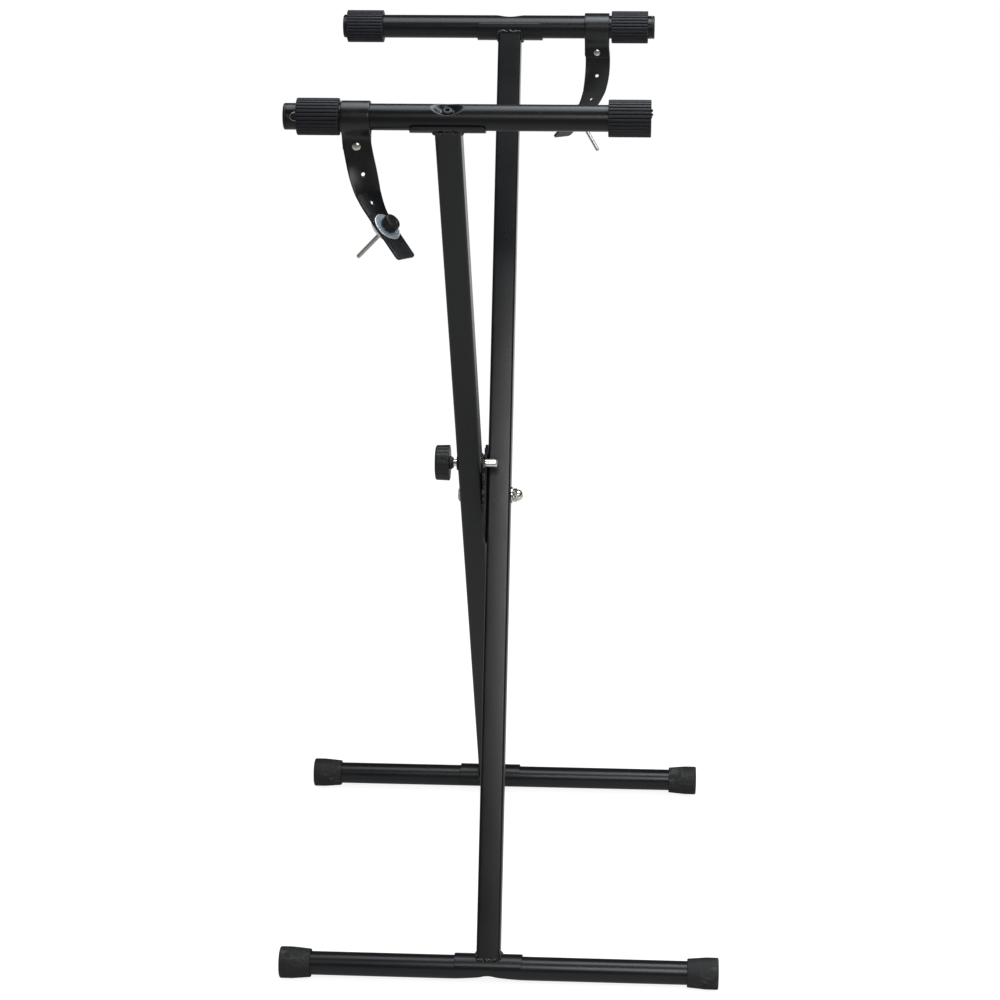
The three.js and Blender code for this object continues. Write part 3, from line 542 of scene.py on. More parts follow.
def groove_tree():
    """Presses even grooves along X into the outside of a turned piece."""
    g = Growth("ribs round a turned piece", [
        ("Ribs", "NodeSocketFloat", 30.0),
        ("Depth", "NodeSocketFloat", 0.001),
        ("Crest", "NodeSocketFloat", 0.5),
        ("Core", "NodeSocketFloat", 0.014),
        ("Fade", "NodeSocketFloat", 0.001),
    ])
    _, y, z = g.point()
    radius, share = g.round_axis(y, z)
    turns = g.sum("ADD", g.sum("MULTIPLY", share, g.inputs["Ribs"]), 0.5)
    off = g.sum("ABSOLUTE", g.sum("SUBTRACT", g.sum("FRACT", turns), 0.5))
    groove = g.between(off, g.sum("MULTIPLY", g.inputs["Crest"], 0.5), 0.5)
    skin = g.between(radius, g.inputs["Core"], g.sum("ADD", g.inputs["Core"], g.inputs["Fade"]), soft=False)
    press = g.sum("MULTIPLY", g.sum("MULTIPLY", groove, skin), g.inputs["Depth"])
    inward = g.inward(radius, press)
    return g.shifted(0.0, g.sum("MULTIPLY", y, inward), g.sum("MULTIPLY", z, inward))


def thread_tree():
    """Rolls a screw thread into a rod along Z."""
    g = Growth("thread on a rod", [
        ("Pitch", "NodeSocketFloat", 0.0009),
        ("Depth", "NodeSocketFloat", 0.0003),
        ("Core", "NodeSocketFloat", 0.0015),
    ])
    x, y, z = g.point()
    radius, share = g.round_axis(y, x)
    phase = g.sum("SUBTRACT", g.sum("DIVIDE", z, g.inputs["Pitch"]), share)
    off = g.sum("MULTIPLY", g.sum("ABSOLUTE", g.sum("SUBTRACT", g.sum("FRACT", phase), 0.5)), 2.0)
    skin = g.sum("GREATER_THAN", radius, g.inputs["Core"])
    press = g.sum("MULTIPLY", g.sum("MULTIPLY", g.between(off, 0.15, 0.85), skin), g.inputs["Depth"])
    inward = g.inward(radius, press)
    return g.shifted(g.sum("MULTIPLY", x, inward), g.sum("MULTIPLY", y, inward), 0.0)


def weld_tree():
    """Lays overlapping weld beads along a seam."""
    g = Growth("weld along a seam", [
        ("Bead", "NodeSocketFloat", 0.001),
        ("Pitch", "NodeSocketFloat", 0.0015),
        ("Seed", "NodeSocketInt", 4),
    ])
    seam = g.add("GeometryNodeMeshToCurve")
    wire(g.tree, seam.inputs[0], g.inputs["Geometry"])
    even = g.add("GeometryNodeResampleCurve")
    even.mode = "LENGTH"
    wire(g.tree, even.inputs["Curve"], seam.outputs[0])
    wire(g.tree, even.inputs["Length"], g.inputs["Pitch"])
    seed = g.inputs["Seed"]
    stray = g.random((-0.0007, -0.0007, -0.0008), (0.0007, 0.0007, 0.0008), g.sum("ADD", seed, 3.0))
    uneven = g.add("GeometryNodeSetPosition")
    wire(g.tree, uneven.inputs["Geometry"], even.outputs[0])
    wire(g.tree, uneven.inputs["Offset"], stray)
    bead = g.add("GeometryNodeMeshIcoSphere")
    wire(g.tree, bead.inputs["Radius"], g.inputs["Bead"])
    bead.inputs["Subdivisions"].default_value = 2
    size = g.random((0.5, 0.5, 0.5), (1.5, 1.1, 1.1), seed)
    turns = g.random((-0.5, -0.5, -0.5), (0.5, 0.5, 0.5), g.sum("ADD", seed, 11.0))
    spin = g.add("FunctionNodeEulerToRotation", turns)
    laid = g.add("GeometryNodeInstanceOnPoints")
    wire(g.tree, laid.inputs["Points"], uneven.outputs[0])
    wire(g.tree, laid.inputs["Instance"], bead.outputs[0])
    wire(g.tree, laid.inputs["Rotation"], spin.outputs[0])
    wire(g.tree, laid.inputs["Scale"], size)
    return g.finish(laid.outputs[0])


def placing_tree():
    """Puts a copy of one fastener at each point, turned as the point's own turn says."""
    g = Growth("fasteners in their places", [("Fastener", "NodeSocketObject", None)])
    source = g.add("GeometryNodeObjectInfo")
    wire(g.tree, source.inputs["Object"], g.inputs["Fastener"])
    turns = g.add("GeometryNodeInputNamedAttribute", data_type="FLOAT_VECTOR")
    turns.inputs["Name"].default_value = "turn"
    spin = g.add("FunctionNodeEulerToRotation", turns.outputs[0])
    laid = g.add("GeometryNodeInstanceOnPoints")
    wire(g.tree, laid.inputs["Points"], g.inputs["Geometry"])
    wire(g.tree, laid.inputs["Instance"], source.outputs["Geometry"])
    wire(g.tree, laid.inputs["Rotation"], spin.outputs[0])
    return g.finish(laid.outputs[0])


def fasteners(name, source, places, finish, tree):
    mesh = bpy.data.meshes.new(name)
    mesh.from_pydata([tuple(place.to_translation() * MM) for place in places], [], [])
    turns = mesh.attributes.new("turn", "FLOAT_VECTOR", "POINT")
    for k, place in enumerate(places):
        turns.data[k].vector = tuple(place.to_euler("XYZ"))
    obj = bpy.data.objects.new(name, mesh)
    scene.collection.objects.link(obj)
    return grow(obj, tree, finish, Fastener=source)


# ---------------------------------------------------------------- finishes


class Finish:
    """A procedural finish on Object coordinates, which are the stand's own metres."""

    def __init__(self, name, colour, roughness, metallic=0.0, **fixed):
        self.material = bpy.data.materials.new(name)
        self.material.use_nodes = True
        self.tree = self.material.node_tree
        self.shader = self.tree.nodes["Principled BSDF"]
        self.coords = self.tree.nodes.new("ShaderNodeTexCoord").outputs["Object"]
        self.base = (*colour, 1.0)
        self.shader.inputs["Base Color"].default_value = self.base
        self.shader.inputs["Roughness"].default_value = roughness
        self.shader.inputs["Metallic"].default_value = metallic
        for key, value in fixed.items():
            self.shader.inputs[key.replace("_", " ")].default_value = value

    def add(self, kind, **settings):
        node = self.tree.nodes.new(kind)
        for key, value in settings.items():
            setattr(node, key, value)
        return node

    def stretched(self, scale):
        node = self.add("ShaderNodeMapping")
        wire(self.tree, node.inputs["Vector"], self.coords)
        node.inputs["Scale"].default_value = scale
        return node.outputs[0]

    def noise(self, scale, detail=3.0, rough=0.5, coords=None, warp=0.0):
        node = self.add("ShaderNodeTexNoise")
        wire(self.tree, node.inputs["Vector"], coords or self.coords)
        node.inputs["Scale"].default_value = scale
        node.inputs["Detail"].default_value = detail
        node.inputs["Roughness"].default_value = rough
        node.inputs["Distortion"].default_value = warp
        return node.outputs["Fac"]

    def cells(self, scale, coords=None, feature="F1"):
        node = self.add("ShaderNodeTexVoronoi", feature=feature)
        wire(self.tree, node.inputs["Vector"], coords or self.coords)
        node.inputs["Scale"].default_value = scale
        return node.outputs["Distance"]

    def ranged(self, value, low, high, to_low, to_high):
        node = self.add("ShaderNodeMapRange", interpolation_type="SMOOTHSTEP")
        for socket, entry in zip(node.inputs, (value, low, high, to_low, to_high)):
            wire(self.tree, socket, entry)
        return node.outputs[0]

    def maths(self, operation, *values):
        node = self.add("ShaderNodeMath", operation=operation)
        for socket, entry in zip(node.inputs, values):
            wire(self.tree, socket, entry)
        return node.outputs[0]

    def mixed(self, factor, first, second):
        node = self.add("ShaderNodeMix", data_type="RGBA")
        wire(self.tree, node.inputs["Factor"], factor)
        colours = [socket for socket in node.inputs if socket.type == "RGBA"]
        wire(self.tree, colours[0], first)
        wire(self.tree, colours[1], second)
        return [socket for socket in node.outputs if socket.type == "RGBA"][0]

    def bump(self, height, distance, strength, under=None):
        node = self.add("ShaderNodeBump")
        node.inputs["Strength"].default_value = strength
        node.inputs["Distance"].default_value = distance
        wire(self.tree, node.inputs["Height"], height)
        if under is not None:
            wire(self.tree, node.inputs["Normal"], under)
        return node.outputs[0]

    def put(self, name, value):
        wire(self.tree, self.shader.inputs[name], value)

    def tint(self, mask, low, high, colour):
        """Mixes a second colour into the base as the mask runs from low to high."""
        share = self.ranged(mask, low, high, 0.0, 1.0)
        self.put("Base Color", self.mixed(share, self.base, (*colour, 1.0)))

    def polish(self, mask, low, high):
        """Varies the roughness with a mask, from low to high."""
        self.put("Roughness", self.ranged(mask, 0.3, 0.7, low, high))


def powder_coat():
    """Satin black powder coat on the steel tubes: fine orange peel, faint handling marks."""
    f = Finish("satin black powder coat", (0.005, 0.0055, 0.0074), 0.3, IOR=1.5, Specular_IOR_Level=0.46)
    cloud = f.noise(14.0, 4.0, 0.6)
    f.tint(cloud, 0.35, 0.7, (0.007, 0.0075, 0.0094))
    rubs = f.noise(60.0, 6.0, 0.7, f.stretched((1.0, 1.0, 0.25)), 0.6)
    worn = f.ranged(rubs, 0.58, 0.76, 0.0, 0.08)
    f.put("Roughness", f.maths("ADD", f.ranged(cloud, 0.3, 0.7, 0.27, 0.32), worn))
    peel = f.bump(f.noise(760.0, 2.0, 0.55), 0.0001, 0.3)
    f.put("Normal", f.bump(f.noise(2600.0, 1.0, 0.5), 0.00003, 0.14, peel))
    return f.material


def weld_paint():
    """The same coat over the rough welds, where it has flowed thick and glossy."""
    f = Finish("powder coat over a weld", (0.006, 0.0063, 0.0074), 0.16, IOR=1.6, Specular_IOR_Level=0.8)
    lumps = f.noise(620.0, 4.0, 0.6, warp=0.5)
    f.put("Roughness", f.ranged(lumps, 0.35, 0.7, 0.09, 0.24))
    f.put("Normal", f.bump(lumps, 0.0009, 1.0))
    return f.material


def sleeve_rubber():
    charcoal = (0.0165, 0.0172, 0.0238)
    f = Finish("matte charcoal sleeve rubber", charcoal, 0.58, IOR=1.5, Specular_IOR_Level=0.42)
    bloom = f.noise(90.0, 5.0, 0.6)
    f.tint(bloom, 0.4, 0.72, (0.021, 0.0218, 0.0278))
    f.polish(bloom, 0.5, 0.66)
    grain = f.bump(f.noise(1900.0, 3.0, 0.6), 0.00008, 0.35)
    f.put("Normal", f.bump(f.noise(260.0, 3.0, 0.55), 0.0002, 0.2, grain))
    return f.material


def foot_rubber():
    """The foot caps: matte moulded rubber, chalky where it has rubbed on the floor."""
    f = Finish("scuffed foot rubber", (0.0145, 0.0148, 0.0162), 0.7, IOR=1.5, Specular_IOR_Level=0.4)
    streaks = f.noise(75.0, 8.0, 0.75, f.stretched((1.0, 1.0, 2.6)), 0.9)
    dust = f.noise(22.0, 5.0, 0.65)
    scuffs = f.maths(
        "MULTIPLY", f.ranged(streaks, 0.46, 0.68, 0.0, 1.0), f.ranged(dust, 0.36, 0.62, 0.0, 1.0)
    )
    f.put("Base Color", f.mixed(scuffs, f.base, (0.078, 0.077, 0.075, 1.0)))
    f.polish(dust, 0.6, 0.8)
    grain = f.bump(f.noise(1500.0, 3.0, 0.6), 0.0001, 0.4)
    f.put("Normal", f.bump(streaks, 0.0003, 0.25, grain))
    return f.material


def chrome_plate():
    f = Finish("bright chrome", (0.95, 0.91, 0.84), 0.15, 1.0)
    smear = f.noise(320.0, 4.0, 0.6, f.stretched((1.0, 0.35, 0.35)), 0.4)
    f.put("Roughness", f.ranged(smear, 0.35, 0.75, 0.11, 0.22))
    f.tint(smear, 0.4, 0.8, (0.82, 0.77, 0.7))
    f.put("Normal", f.bump(f.noise(900.0, 2.0, 0.5), 0.00003, 0.15))
    return f.material


def zinc_plate():
    f = Finish("blue-grey zinc plate", (0.34, 0.37, 0.4), 0.3, 1.0)
    cloud = f.noise(240.0, 4.0, 0.6)
    spangle = f.cells(420.0)
    tone = f.maths("MULTIPLY", f.ranged(cloud, 0.35, 0.7, 0.0, 1.0), f.ranged(spangle, 0.1, 0.7, 0.5, 1.0))
    f.put("Base Color", f.mixed(tone, f.base, (0.2, 0.225, 0.25, 1.0)))
    f.polish(cloud, 0.24, 0.4)
    f.put("Normal", f.bump(f.noise(1400.0, 3.0, 0.6), 0.00004, 0.25))
    return f.material


def washer_zinc():
    """The wide screw washers: dull, even blue-grey plating."""
    f = Finish("dull blue-grey washer plate", (0.33, 0.39, 0.44), 0.45, 0.35, Specular_IOR_Level=0.5)
    cloud = f.noise(60.0, 3.0, 0.5)
    f.tint(cloud, 0.35, 0.75, (0.3, 0.355, 0.405))
    f.polish(cloud, 0.42, 0.5)
    return f.material


def rod_zinc_and_hole_highlight():
    """The threaded rods: pale plating with a warm cast; the same plating round the button holes is a painted
    highlight.
    """
    f = Finish("warm pale rod plate", (0.64, 0.62, 0.57), 0.38, 0.85)
    cloud = f.noise(300.0, 4.0, 0.6)
    f.tint(cloud, 0.35, 0.75, (0.5, 0.48, 0.435))
    f.polish(cloud, 0.28, 0.42)
    return f.material


def pale_zinc_and_rim_highlight():
    """The head of the pivot bolt: pale, faintly blue plating; the same plating on the screw washers' rims is
    a painted highlight.
    """
    f = Finish("pale blue zinc plate", (0.74, 0.81, 0.85), 0.36, 0.75)
    cloud = f.noise(200.0, 3.0, 0.5)
    f.polish(cloud, 0.3, 0.42)
    return f.material


def dark_steel():
    """Blackened steel of the locking disc, rubbed bright here and there."""
    f = Finish("blackened steel", (0.045, 0.046, 0.05), 0.36, 0.85)
    rub = f.noise(210.0, 7.0, 0.72, f.stretched((1.0, 0.5, 2.2)), 1.1)
    bare = f.ranged(rub, 0.55, 0.72, 0.0, 0.8)
    f.put("Base Color", f.mixed(bare, f.base, (0.2, 0.2, 0.205, 1.0)))
    f.put("Roughness", f.ranged(rub, 0.4, 0.7, 0.4, 0.28))
    f.put("Normal", f.bump(f.noise(1100.0, 4.0, 0.6), 0.00006, 0.3))
    return f.material


def bolt_black():
    """Black oxide on the bar bolts, worn a little on the rim."""
    f = Finish("black oxide bolts", (0.018, 0.018, 0.02), 0.34, 0.55, Specular_IOR_Level=0.5)
    rub = f.noise(420.0, 5.0, 0.65)
    f.put("Base Color", f.mixed(f.ranged(rub, 0.5, 0.72, 0.0, 0.7), f.base, (0.07, 0.07, 0.072, 1.0)))
    f.polish(rub, 0.3, 0.42)
    return f.material


def black_nylon():
    f = Finish("black moulded nylon", (0.0105, 0.011, 0.0122), 0.42, IOR=1.5, Specular_IOR_Level=0.45)
    cloud = f.noise(160.0, 4.0, 0.6)
    f.tint(cloud, 0.35, 0.7, (0.014, 0.014, 0.0145))
    f.polish(cloud, 0.36, 0.48)
    f.put("Normal", f.bump(f.noise(1700.0, 2.0, 0.5), 0.00005, 0.25))
    return f.material


def white_nylon():
    f = Finish("white nylon washer", (0.72, 0.72, 0.7), 0.45, Subsurface_Weight=0.15, Subsurface_Scale=0.002)
    cloud = f.noise(300.0, 4.0, 0.6)
    f.tint(cloud, 0.35, 0.75, (0.6, 0.6, 0.575))
    f.polish(cloud, 0.4, 0.55)
    f.put("Normal", f.bump(f.noise(1500.0, 2.0, 0.5), 0.00005, 0.2))
    return f.material


def strap_finish():
    """The keyboard straps: a thick moulded band with a fine skin grain."""
    f = Finish("black moulded strap", (0.0034, 0.0038, 0.0052), 0.33, IOR=1.5, Specular_IOR_Level=0.62)
    cloud = f.noise(70.0, 5.0, 0.6)
    f.tint(cloud, 0.35, 0.7, (0.006, 0.0063, 0.0072))
    f.polish(cloud, 0.3, 0.38)
    grain = f.bump(f.cells(1500.0), 0.00006, 0.1)
    f.put("Normal", f.bump(f.noise(180.0, 3.0, 0.5), 0.0002, 0.12, grain))
    return f.material


PAINT = powder_coat()
WELD_PAINT = weld_paint()
SLEEVE_RUBBER = sleeve_rubber()
FOOT_RUBBER = foot_rubber()
CHROME = chrome_plate()
ZINC = zinc_plate()
WASHER_ZINC = washer_zinc()
ROD_ZINC_AND_HOLE_HIGHLIGHT = rod_zinc_and_hole_highlight()
PALE_ZINC_AND_RIM_HIGHLIGHT = pale_zinc_and_rim_highlight()
DARK_STEEL = dark_steel()
BOLT_BLACK = bolt_black()
NYLON = black_nylon()
WHITE_NYLON = white_nylon()
STRAP = strap_finish()

RIBS = groove_tree()
THREAD = thread_tree()
WELD = weld_tree()
PLACING = placing_tree()

# ---------------------------------------------------------------- legs


def square_outline(width, corner, crown=0.0, corner_steps=8, flat_steps=18):
    """A rounded square as points, side by side from +X, its sides full in the middle by the crown."""
    half = width / 2
    flat = half - corner
    points = []
    for quarter in range(4):
        angle = quarter * math.pi / 2
        c, s = math.cos(angle), math.sin(angle)
        shares = [2 * k / flat_steps - 1 for k in range(flat_steps + 1)]
        side = [(half + crown * (1 - share**2), flat * share) for share in shares]
        bend = [
            (flat + corner * math.cos(a), flat + corner * math.sin(a))
            for a in (math.pi / 2 * k / corner_steps for k in range(1, corner_steps))
        ]
        points += [(x * c - y * s, x * s + y * c) for x, y in side + bend]
    return points


def coped_rows(outline, radius=COPE_RADIUS):
    """The outline's two ends, coped to the saddles."""
    drop = [math.sqrt(radius**2 - y**2) for _, y in outline]
    low = [(x, y, d - LOWER_REACH) for (x, y), d in zip(outline, drop)]
    high = [(x, y, UPPER_REACH - d) for (x, y), d in zip(outline, drop)]
    return low, high


def leg_tube(leg, holes):
    outer = square_outline(LEG_WIDTH, LEG_CORNER, LEG_CROWN)
    inner = square_outline(LEG_WIDTH - 2 * LEG_WALL, LEG_CORNER - LEG_WALL)
    low, high = coped_rows(outer)
    inner_low, inner_high = coped_rows(inner)
    obj = make(f"{leg}_square_tube", loft([low, high, inner_high, inner_low], closed_ends=True), PAINT)
    shaped(obj, "DIFFERENCE", holes)
    even_shading(obj)
    settle(obj, LEG_PLACES[leg])
    return dress(obj, leg, "black_paint", f"{leg}_tube")


def wall_hole(radius, y, z, low, high):
    return rod(radius, low, high, 0, 40), move(0, y, z) @ ALONG_X


def notch_angle(index):
    return 2 * LEG_TILT + index * FOLD_STEP


def round_pivot(angle, reach=PIN_REACH):
    return reach * math.sin(angle), reach * math.cos(angle)


storage = round_pivot(notch_angle(-NOTCHES_EACH_WAY))
leg_tube("leg_a", [
    wall_hole(PIVOT_RADIUS + RUN_GAP, 0, 0, -LEG_WIDTH, LEG_WIDTH),
    wall_hole(PIN_HOLE_RADIUS + BUSHING_WALL + GAP, 0, PIN_REACH, 0, LEG_WIDTH),
    wall_hole(SHAFT_BORE_RADIUS + BUSHING_WALL + GAP, 0, PIN_REACH, -LEG_WIDTH, 0),
])
leg_tube("leg_b", [
    wall_hole(PIVOT_RADIUS + RUN_GAP, 0, 0, -LEG_WIDTH, LEG_WIDTH),
    wall_hole(PIN_STORE_RADIUS, storage[0], storage[1], 0, LEG_WIDTH),
    wall_hole(DISC_RIVET_RADIUS + GAP, 0, DISC_RIVET_REACH, 0, LEG_WIDTH),
    wall_hole(DISC_RIVET_RADIUS + GAP, 0, -DISC_RIVET_REACH, 0, LEG_WIDTH),
])


def weld_seams(leg):
    """The welds between a leg's two ends and their saddles, as beads of one piece."""
    outline = square_outline(LEG_WIDTH + WELD_SPREAD, LEG_CORNER)
    low, high = coped_rows(outline, SADDLE_OUTER + WELD_SPREAD)
    count = len(outline)
    edges = [(k, (k + 1) % count) for k in range(count)]
    edges += [(a + count, b + count) for a, b in edges]
    mesh = bpy.data.meshes.new(f"{leg}_welds")
    mesh.from_pydata([tuple(Vector(p) * MM) for p in low + high], edges, [])
    obj = bpy.data.objects.new(f"{leg}_welds", mesh)
    scene.collection.objects.link(obj)
    grow(obj, WELD, WELD_PAINT, 60, Bead=WELD_BEAD * MM, Pitch=WELD_PITCH * MM, Seed=WELD_SEEDS[leg])
    settle(obj, LEG_PLACES[leg])
    return dress(obj, leg, "black_paint")


for leg in LEG_PLACES:
    weld_seams(leg)

# ---------------------------------------------------------------- saddles and bars


def saddle(bar):
    """A half-round seat for a bar, open away from the leg, with rounded corners."""
    rows = []
    steps = 44
    edge = 0.45
    middle = (SADDLE_INNER + SADDLE_OUTER) / 2
    for k in range(steps + 1):
        angle = -math.pi / 2 + math.pi * k / steps
        height = -middle * math.cos(angle)
        near = max(0.0, height + SADDLE_CORNER)
        half = SADDLE_LENGTH / 2 - SADDLE_CORNER + math.sqrt(max(SADDLE_CORNER**2 - near**2, 0.0))
        thin = edge * 0.7 if k in (0, steps) else 0.0
        section = eased([
            (-half + thin, SADDLE_INNER + thin, edge),
            (half - thin, SADDLE_INNER + thin, edge),
            (half - thin, SADDLE_OUTER - thin, edge),
            (-half + thin, SADDLE_OUTER - thin, edge),
        ], 2, loop=True)
        rows.append([(x, r * math.sin(angle), -r * math.cos(angle)) for x, r in section])
    obj = make(f"{bar}_saddle_seat", loft(rows, capped=True), PAINT)
    even_shading(obj)
    settle(obj, joint_place(bar))
    return dress(obj, LEG_OF_BAR[bar], "black_paint", f"{bar}_saddle")


def soft_least(a, b, blend):
    h = min(max(0.5 + 0.5 * (b - a) / blend, 0.0), 1.0)
    return b + (a - b) * h - blend * h * (1 - h)


def pressed_height(x, y, z, offset, level):
    """The height of the tube's skin round the bolt's dimple. Base bars are creased across it."""
    rise = (BAR_RADIUS - DIMPLE_FLOOR_HEIGHT) / (DIMPLE_MOUTH_RADIUS - DIMPLE_FLOOR_RADIUS)
    reach = math.hypot(x, y * DIMPLE_NARROW[level]) - DIMPLE_FLOOR_RADIUS - offset
    pressed = DIMPLE_FLOOR_HEIGHT - offset - soft_least(0.0, -reach * rise, 0.5)
    if level == "base":
        slope = (BAR_RADIUS - DIMPLE_RIDGE_HEIGHT) / DIMPLE_RIDGE_REACH
        crease = DIMPLE_RIDGE_HEIGHT - offset + abs(x) * slope
        pressed = soft_least(crease, pressed, 0.6)
    return soft_least(z, pressed, DIMPLE_SOFTNESS[level])


def tube_rows(radius, start, end, offset, level, sides=112):
    near = DIMPLE_REGION[level]
    xs = list(np.linspace(start, -near, 9)) + list(np.linspace(-near, near, 141))[1:-1]
    xs += list(np.linspace(near, end, 9))
    rows = []
    for x in xs:
        row = []
        for k in range(sides):
            angle = 2 * math.pi * k / sides
            y, z = radius * math.sin(angle), radius * math.cos(angle)
            if z > 0 and abs(x) < near:
                z = pressed_height(x, y, z, offset, level)
            row.append((x, y, z))
        rows.append(row)
    return rows


def bar_tube(bar, length, buttons):
    middle = BOLT_OFFSETS[bar]
    start, end = middle - length / 2, middle + length / 2
    level = bar.split("_")[1]
    outer = tube_rows(BAR_RADIUS, start, end, 0.0, level)
    inner = tube_rows(BAR_RADIUS - BAR_WALL, start, end, BAR_WALL, level)
    obj = make(f"{bar}_tube", loft(outer + inner[::-1], closed_ends=True), PAINT, crease=50)
    tools = [(rod(BOLT_SHANK_RADIUS + GAP, -BAR_RADIUS * 2, BAR_RADIUS * 2, 0, 32), Matrix.Identity(4))]
    facing = turn("X", math.pi / 2 - BUTTON_LIFT)
    for x in buttons:
        mouth = [(0, 6), (BUTTON_RADIUS, 6), (BUTTON_RADIUS, 12.3), (BUTTON_RADIUS + 1.2, 13.5), (0, 13.5)]
        tools.append((turned(mouth, 40), move(x, 0, 0) @ facing))
    shaped(obj, "DIFFERENCE", tools, 50)
    settle(obj, joint_place(bar))
    return dress(obj, LEG_OF_BAR[bar], "black_paint", f"{bar}_bar")


def end_plug(bar, side, key):
    """The plastic plug of a bar's end, with the spring button that holds it."""
    skirt = BAR_RADIUS - BAR_WALL - GAP
    body = make("plug_body", turned(eased([
        (0, -PLUG_HEAD),
        (skirt - PLUG_WALL, -PLUG_HEAD),
        (skirt - PLUG_WALL, -PLUG_HEAD - PLUG_SKIRT, 0.4),
        (skirt, -PLUG_HEAD - PLUG_SKIRT, 0.4),
        (skirt, -PLUG_HEAD),
        (BAR_RADIUS, -PLUG_HEAD, 0.25),
        (BAR_RADIUS, 0, PLUG_EDGE),
        (6.2, 0, 0.4),
        (5.8, -0.5, 0.4),
        (0, -0.5),
    ], 8), 80), NYLON, ALONG_X)
    radius = BUTTON_RADIUS - GAP
    button = make("plug_button", turned(eased([
        (0, skirt - 1),
        (radius, skirt - 1),
        (radius, BAR_RADIUS - 0.35, 0.9),
        (radius * 0.35, BAR_RADIUS - 0.1, 1.0),
        (0, BAR_RADIUS - 0.1),
    ], 6), 40), NYLON, move(-BUTTON_INSET, 0, 0) @ turn("X", math.pi / 2 - side * BUTTON_LIFT))
    obj = joined(f"{bar}_plug_{key}", [body, button])
    place = joint_place(bar) @ move(BOLT_OFFSETS[bar] + side * TOP_BAR_LENGTH / 2)
    settle(obj, place @ turn("Y", math.pi) if side < 0 else place)
    node = bar.replace("_top", "_top_plug_") + key
    return dress(obj, LEG_OF_BAR[bar], "black_nylon", node)


def button_hole_highlights(bar):
    """A pale metal ring round the edge of each button hole: a painted highlight."""
    radius, thick = BUTTON_RADIUS + 0.2, 0.32
    rims = []
    for side in (-1, 1):
        rows = []
        for a in np.linspace(0, 2 * math.pi, 48, endpoint=False):
            height = math.sqrt(BAR_RADIUS**2 - (radius * math.sin(a)) ** 2) - 0.16
            rows.append([
                ((radius + thick * math.cos(b)) * math.cos(a), (radius + thick * math.cos(b)) * math.sin(a),
                 height + thick * math.sin(b))
                for b in np.linspace(0, 2 * math.pi, 10, endpoint=False)
            ])
        along = BOLT_OFFSETS[bar] + side * (TOP_BAR_LENGTH / 2 - BUTTON_INSET)
        place = joint_place(bar) @ move(along) @ turn("X", math.pi / 2 - BUTTON_LIFT)
        # the pale ring paints the highlight on the hole's edge
        rims.append(make("button_rim", loft(rows, closed_ends=True), ROD_ZINC_AND_HOLE_HIGHLIGHT, place))
    obj = joined(f"{bar}_button_rims", rims)
    return dress(obj, LEG_OF_BAR[bar], "zinc")


def grip_sleeve(bar, side, key):
    """A ribbed rubber sleeve: thirty ribs along the bar, with softened ends."""
    near, far = SLEEVE_ENDS[bar.split("_")[0]][key]
    half = (far - near) / 2
    profile = eased([
        (SADDLE_INNER, -half, 0.3),
        (SLEEVE_RADIUS, -half, 0.7),
        (SLEEVE_RADIUS, half, 0.7),
        (SADDLE_INNER, half, 0.3),
    ], 6, loop=True)
    obj = make(f"{bar}_sleeve_{key}", turned(profile, SLEEVE_RIBS * 12), SLEEVE_RUBBER, ALONG_X)
    grow(
        obj, RIBS, SLEEVE_RUBBER, 60,
        Ribs=float(SLEEVE_RIBS), Depth=SLEEVE_RIB_DEPTH * MM, Crest=SLEEVE_CREST,
        Core=(SADDLE_INNER + 1.0) * MM, Fade=2.0 * MM,
    )
    along = BOLT_OFFSETS[bar] + side * (TOP_BAR_LENGTH / 2 - (near + far) / 2)
    settle(obj, level_place(bar, along))
    return dress(obj, LEG_OF_BAR[bar], "rubber", f"{bar}_sleeve_{key}")


def moulding_tags():
    """Three scraps of rubber left by the mould on the end of one front sleeve."""
    along = BOLT_OFFSETS["front_top"] + TOP_BAR_LENGTH / 2 - SLEEVE_ENDS["front"]["inner"][0]
    end = level_place("front_top", along)
    tags = []
    for height, size, out in ((10.4, 1.7, 0.9), (7.0, 1.5, 1.3), (4.6, 1.2, 0.6)):
        depth = -math.sqrt((SLEEVE_RADIUS - 1.6) ** 2 - height**2)
        lump = [(0, -size)]
        lump += [(size * math.cos(a), size * 0.8 * math.sin(a)) for a in np.linspace(-1.2, 1.2, 9)]
        lump.append((0, size))
        place = end @ move(out - 0.6, depth, height) @ ALONG_X
        tags.append(make("tag", turned(lump, 20), SLEEVE_RUBBER, place))
    return dress(joined("front_top_sleeve_tags", tags), "leg_a", "rubber")


def foot_cap(bar, side, key):
    """A rubber foot cap, flat where it stands, that narrows towards its mouth."""
    inner = BAR_RADIUS + GAP
    profile = eased([
        (0, -CAP_END_WALL),
        (inner, -CAP_END_WALL),
        (inner, -CAP_LENGTH, 0.3),
        (CAP_MOUTH_RADIUS, -CAP_LENGTH, 0.8),
        (CAP_RADIUS, -CAP_STRAIGHT, 30.0),
        (CAP_RADIUS, -0.5, 1.8),
        (7.0, -0.1, 8.0),
        (0, 0),
    ], 7)
    points, faces = turned(profile, 96)
    points = [tuple(ALONG_X @ Vector(p)) for p in points]
    points = [(x, y, max(z, -FOOT_HEIGHT)) for x, y, z in points]
    obj = make(f"{bar}_foot_cap_{key}", (points, faces), FOOT_RUBBER)
    place = level_place(bar, BOLT_OFFSETS[bar] + side * BASE_BAR_LENGTH / 2)
    settle(obj, place @ turn("Z", math.pi) if side < 0 else place)
    return dress(obj, LEG_OF_BAR[bar], "rubber", f"{bar}_foot_{key}")


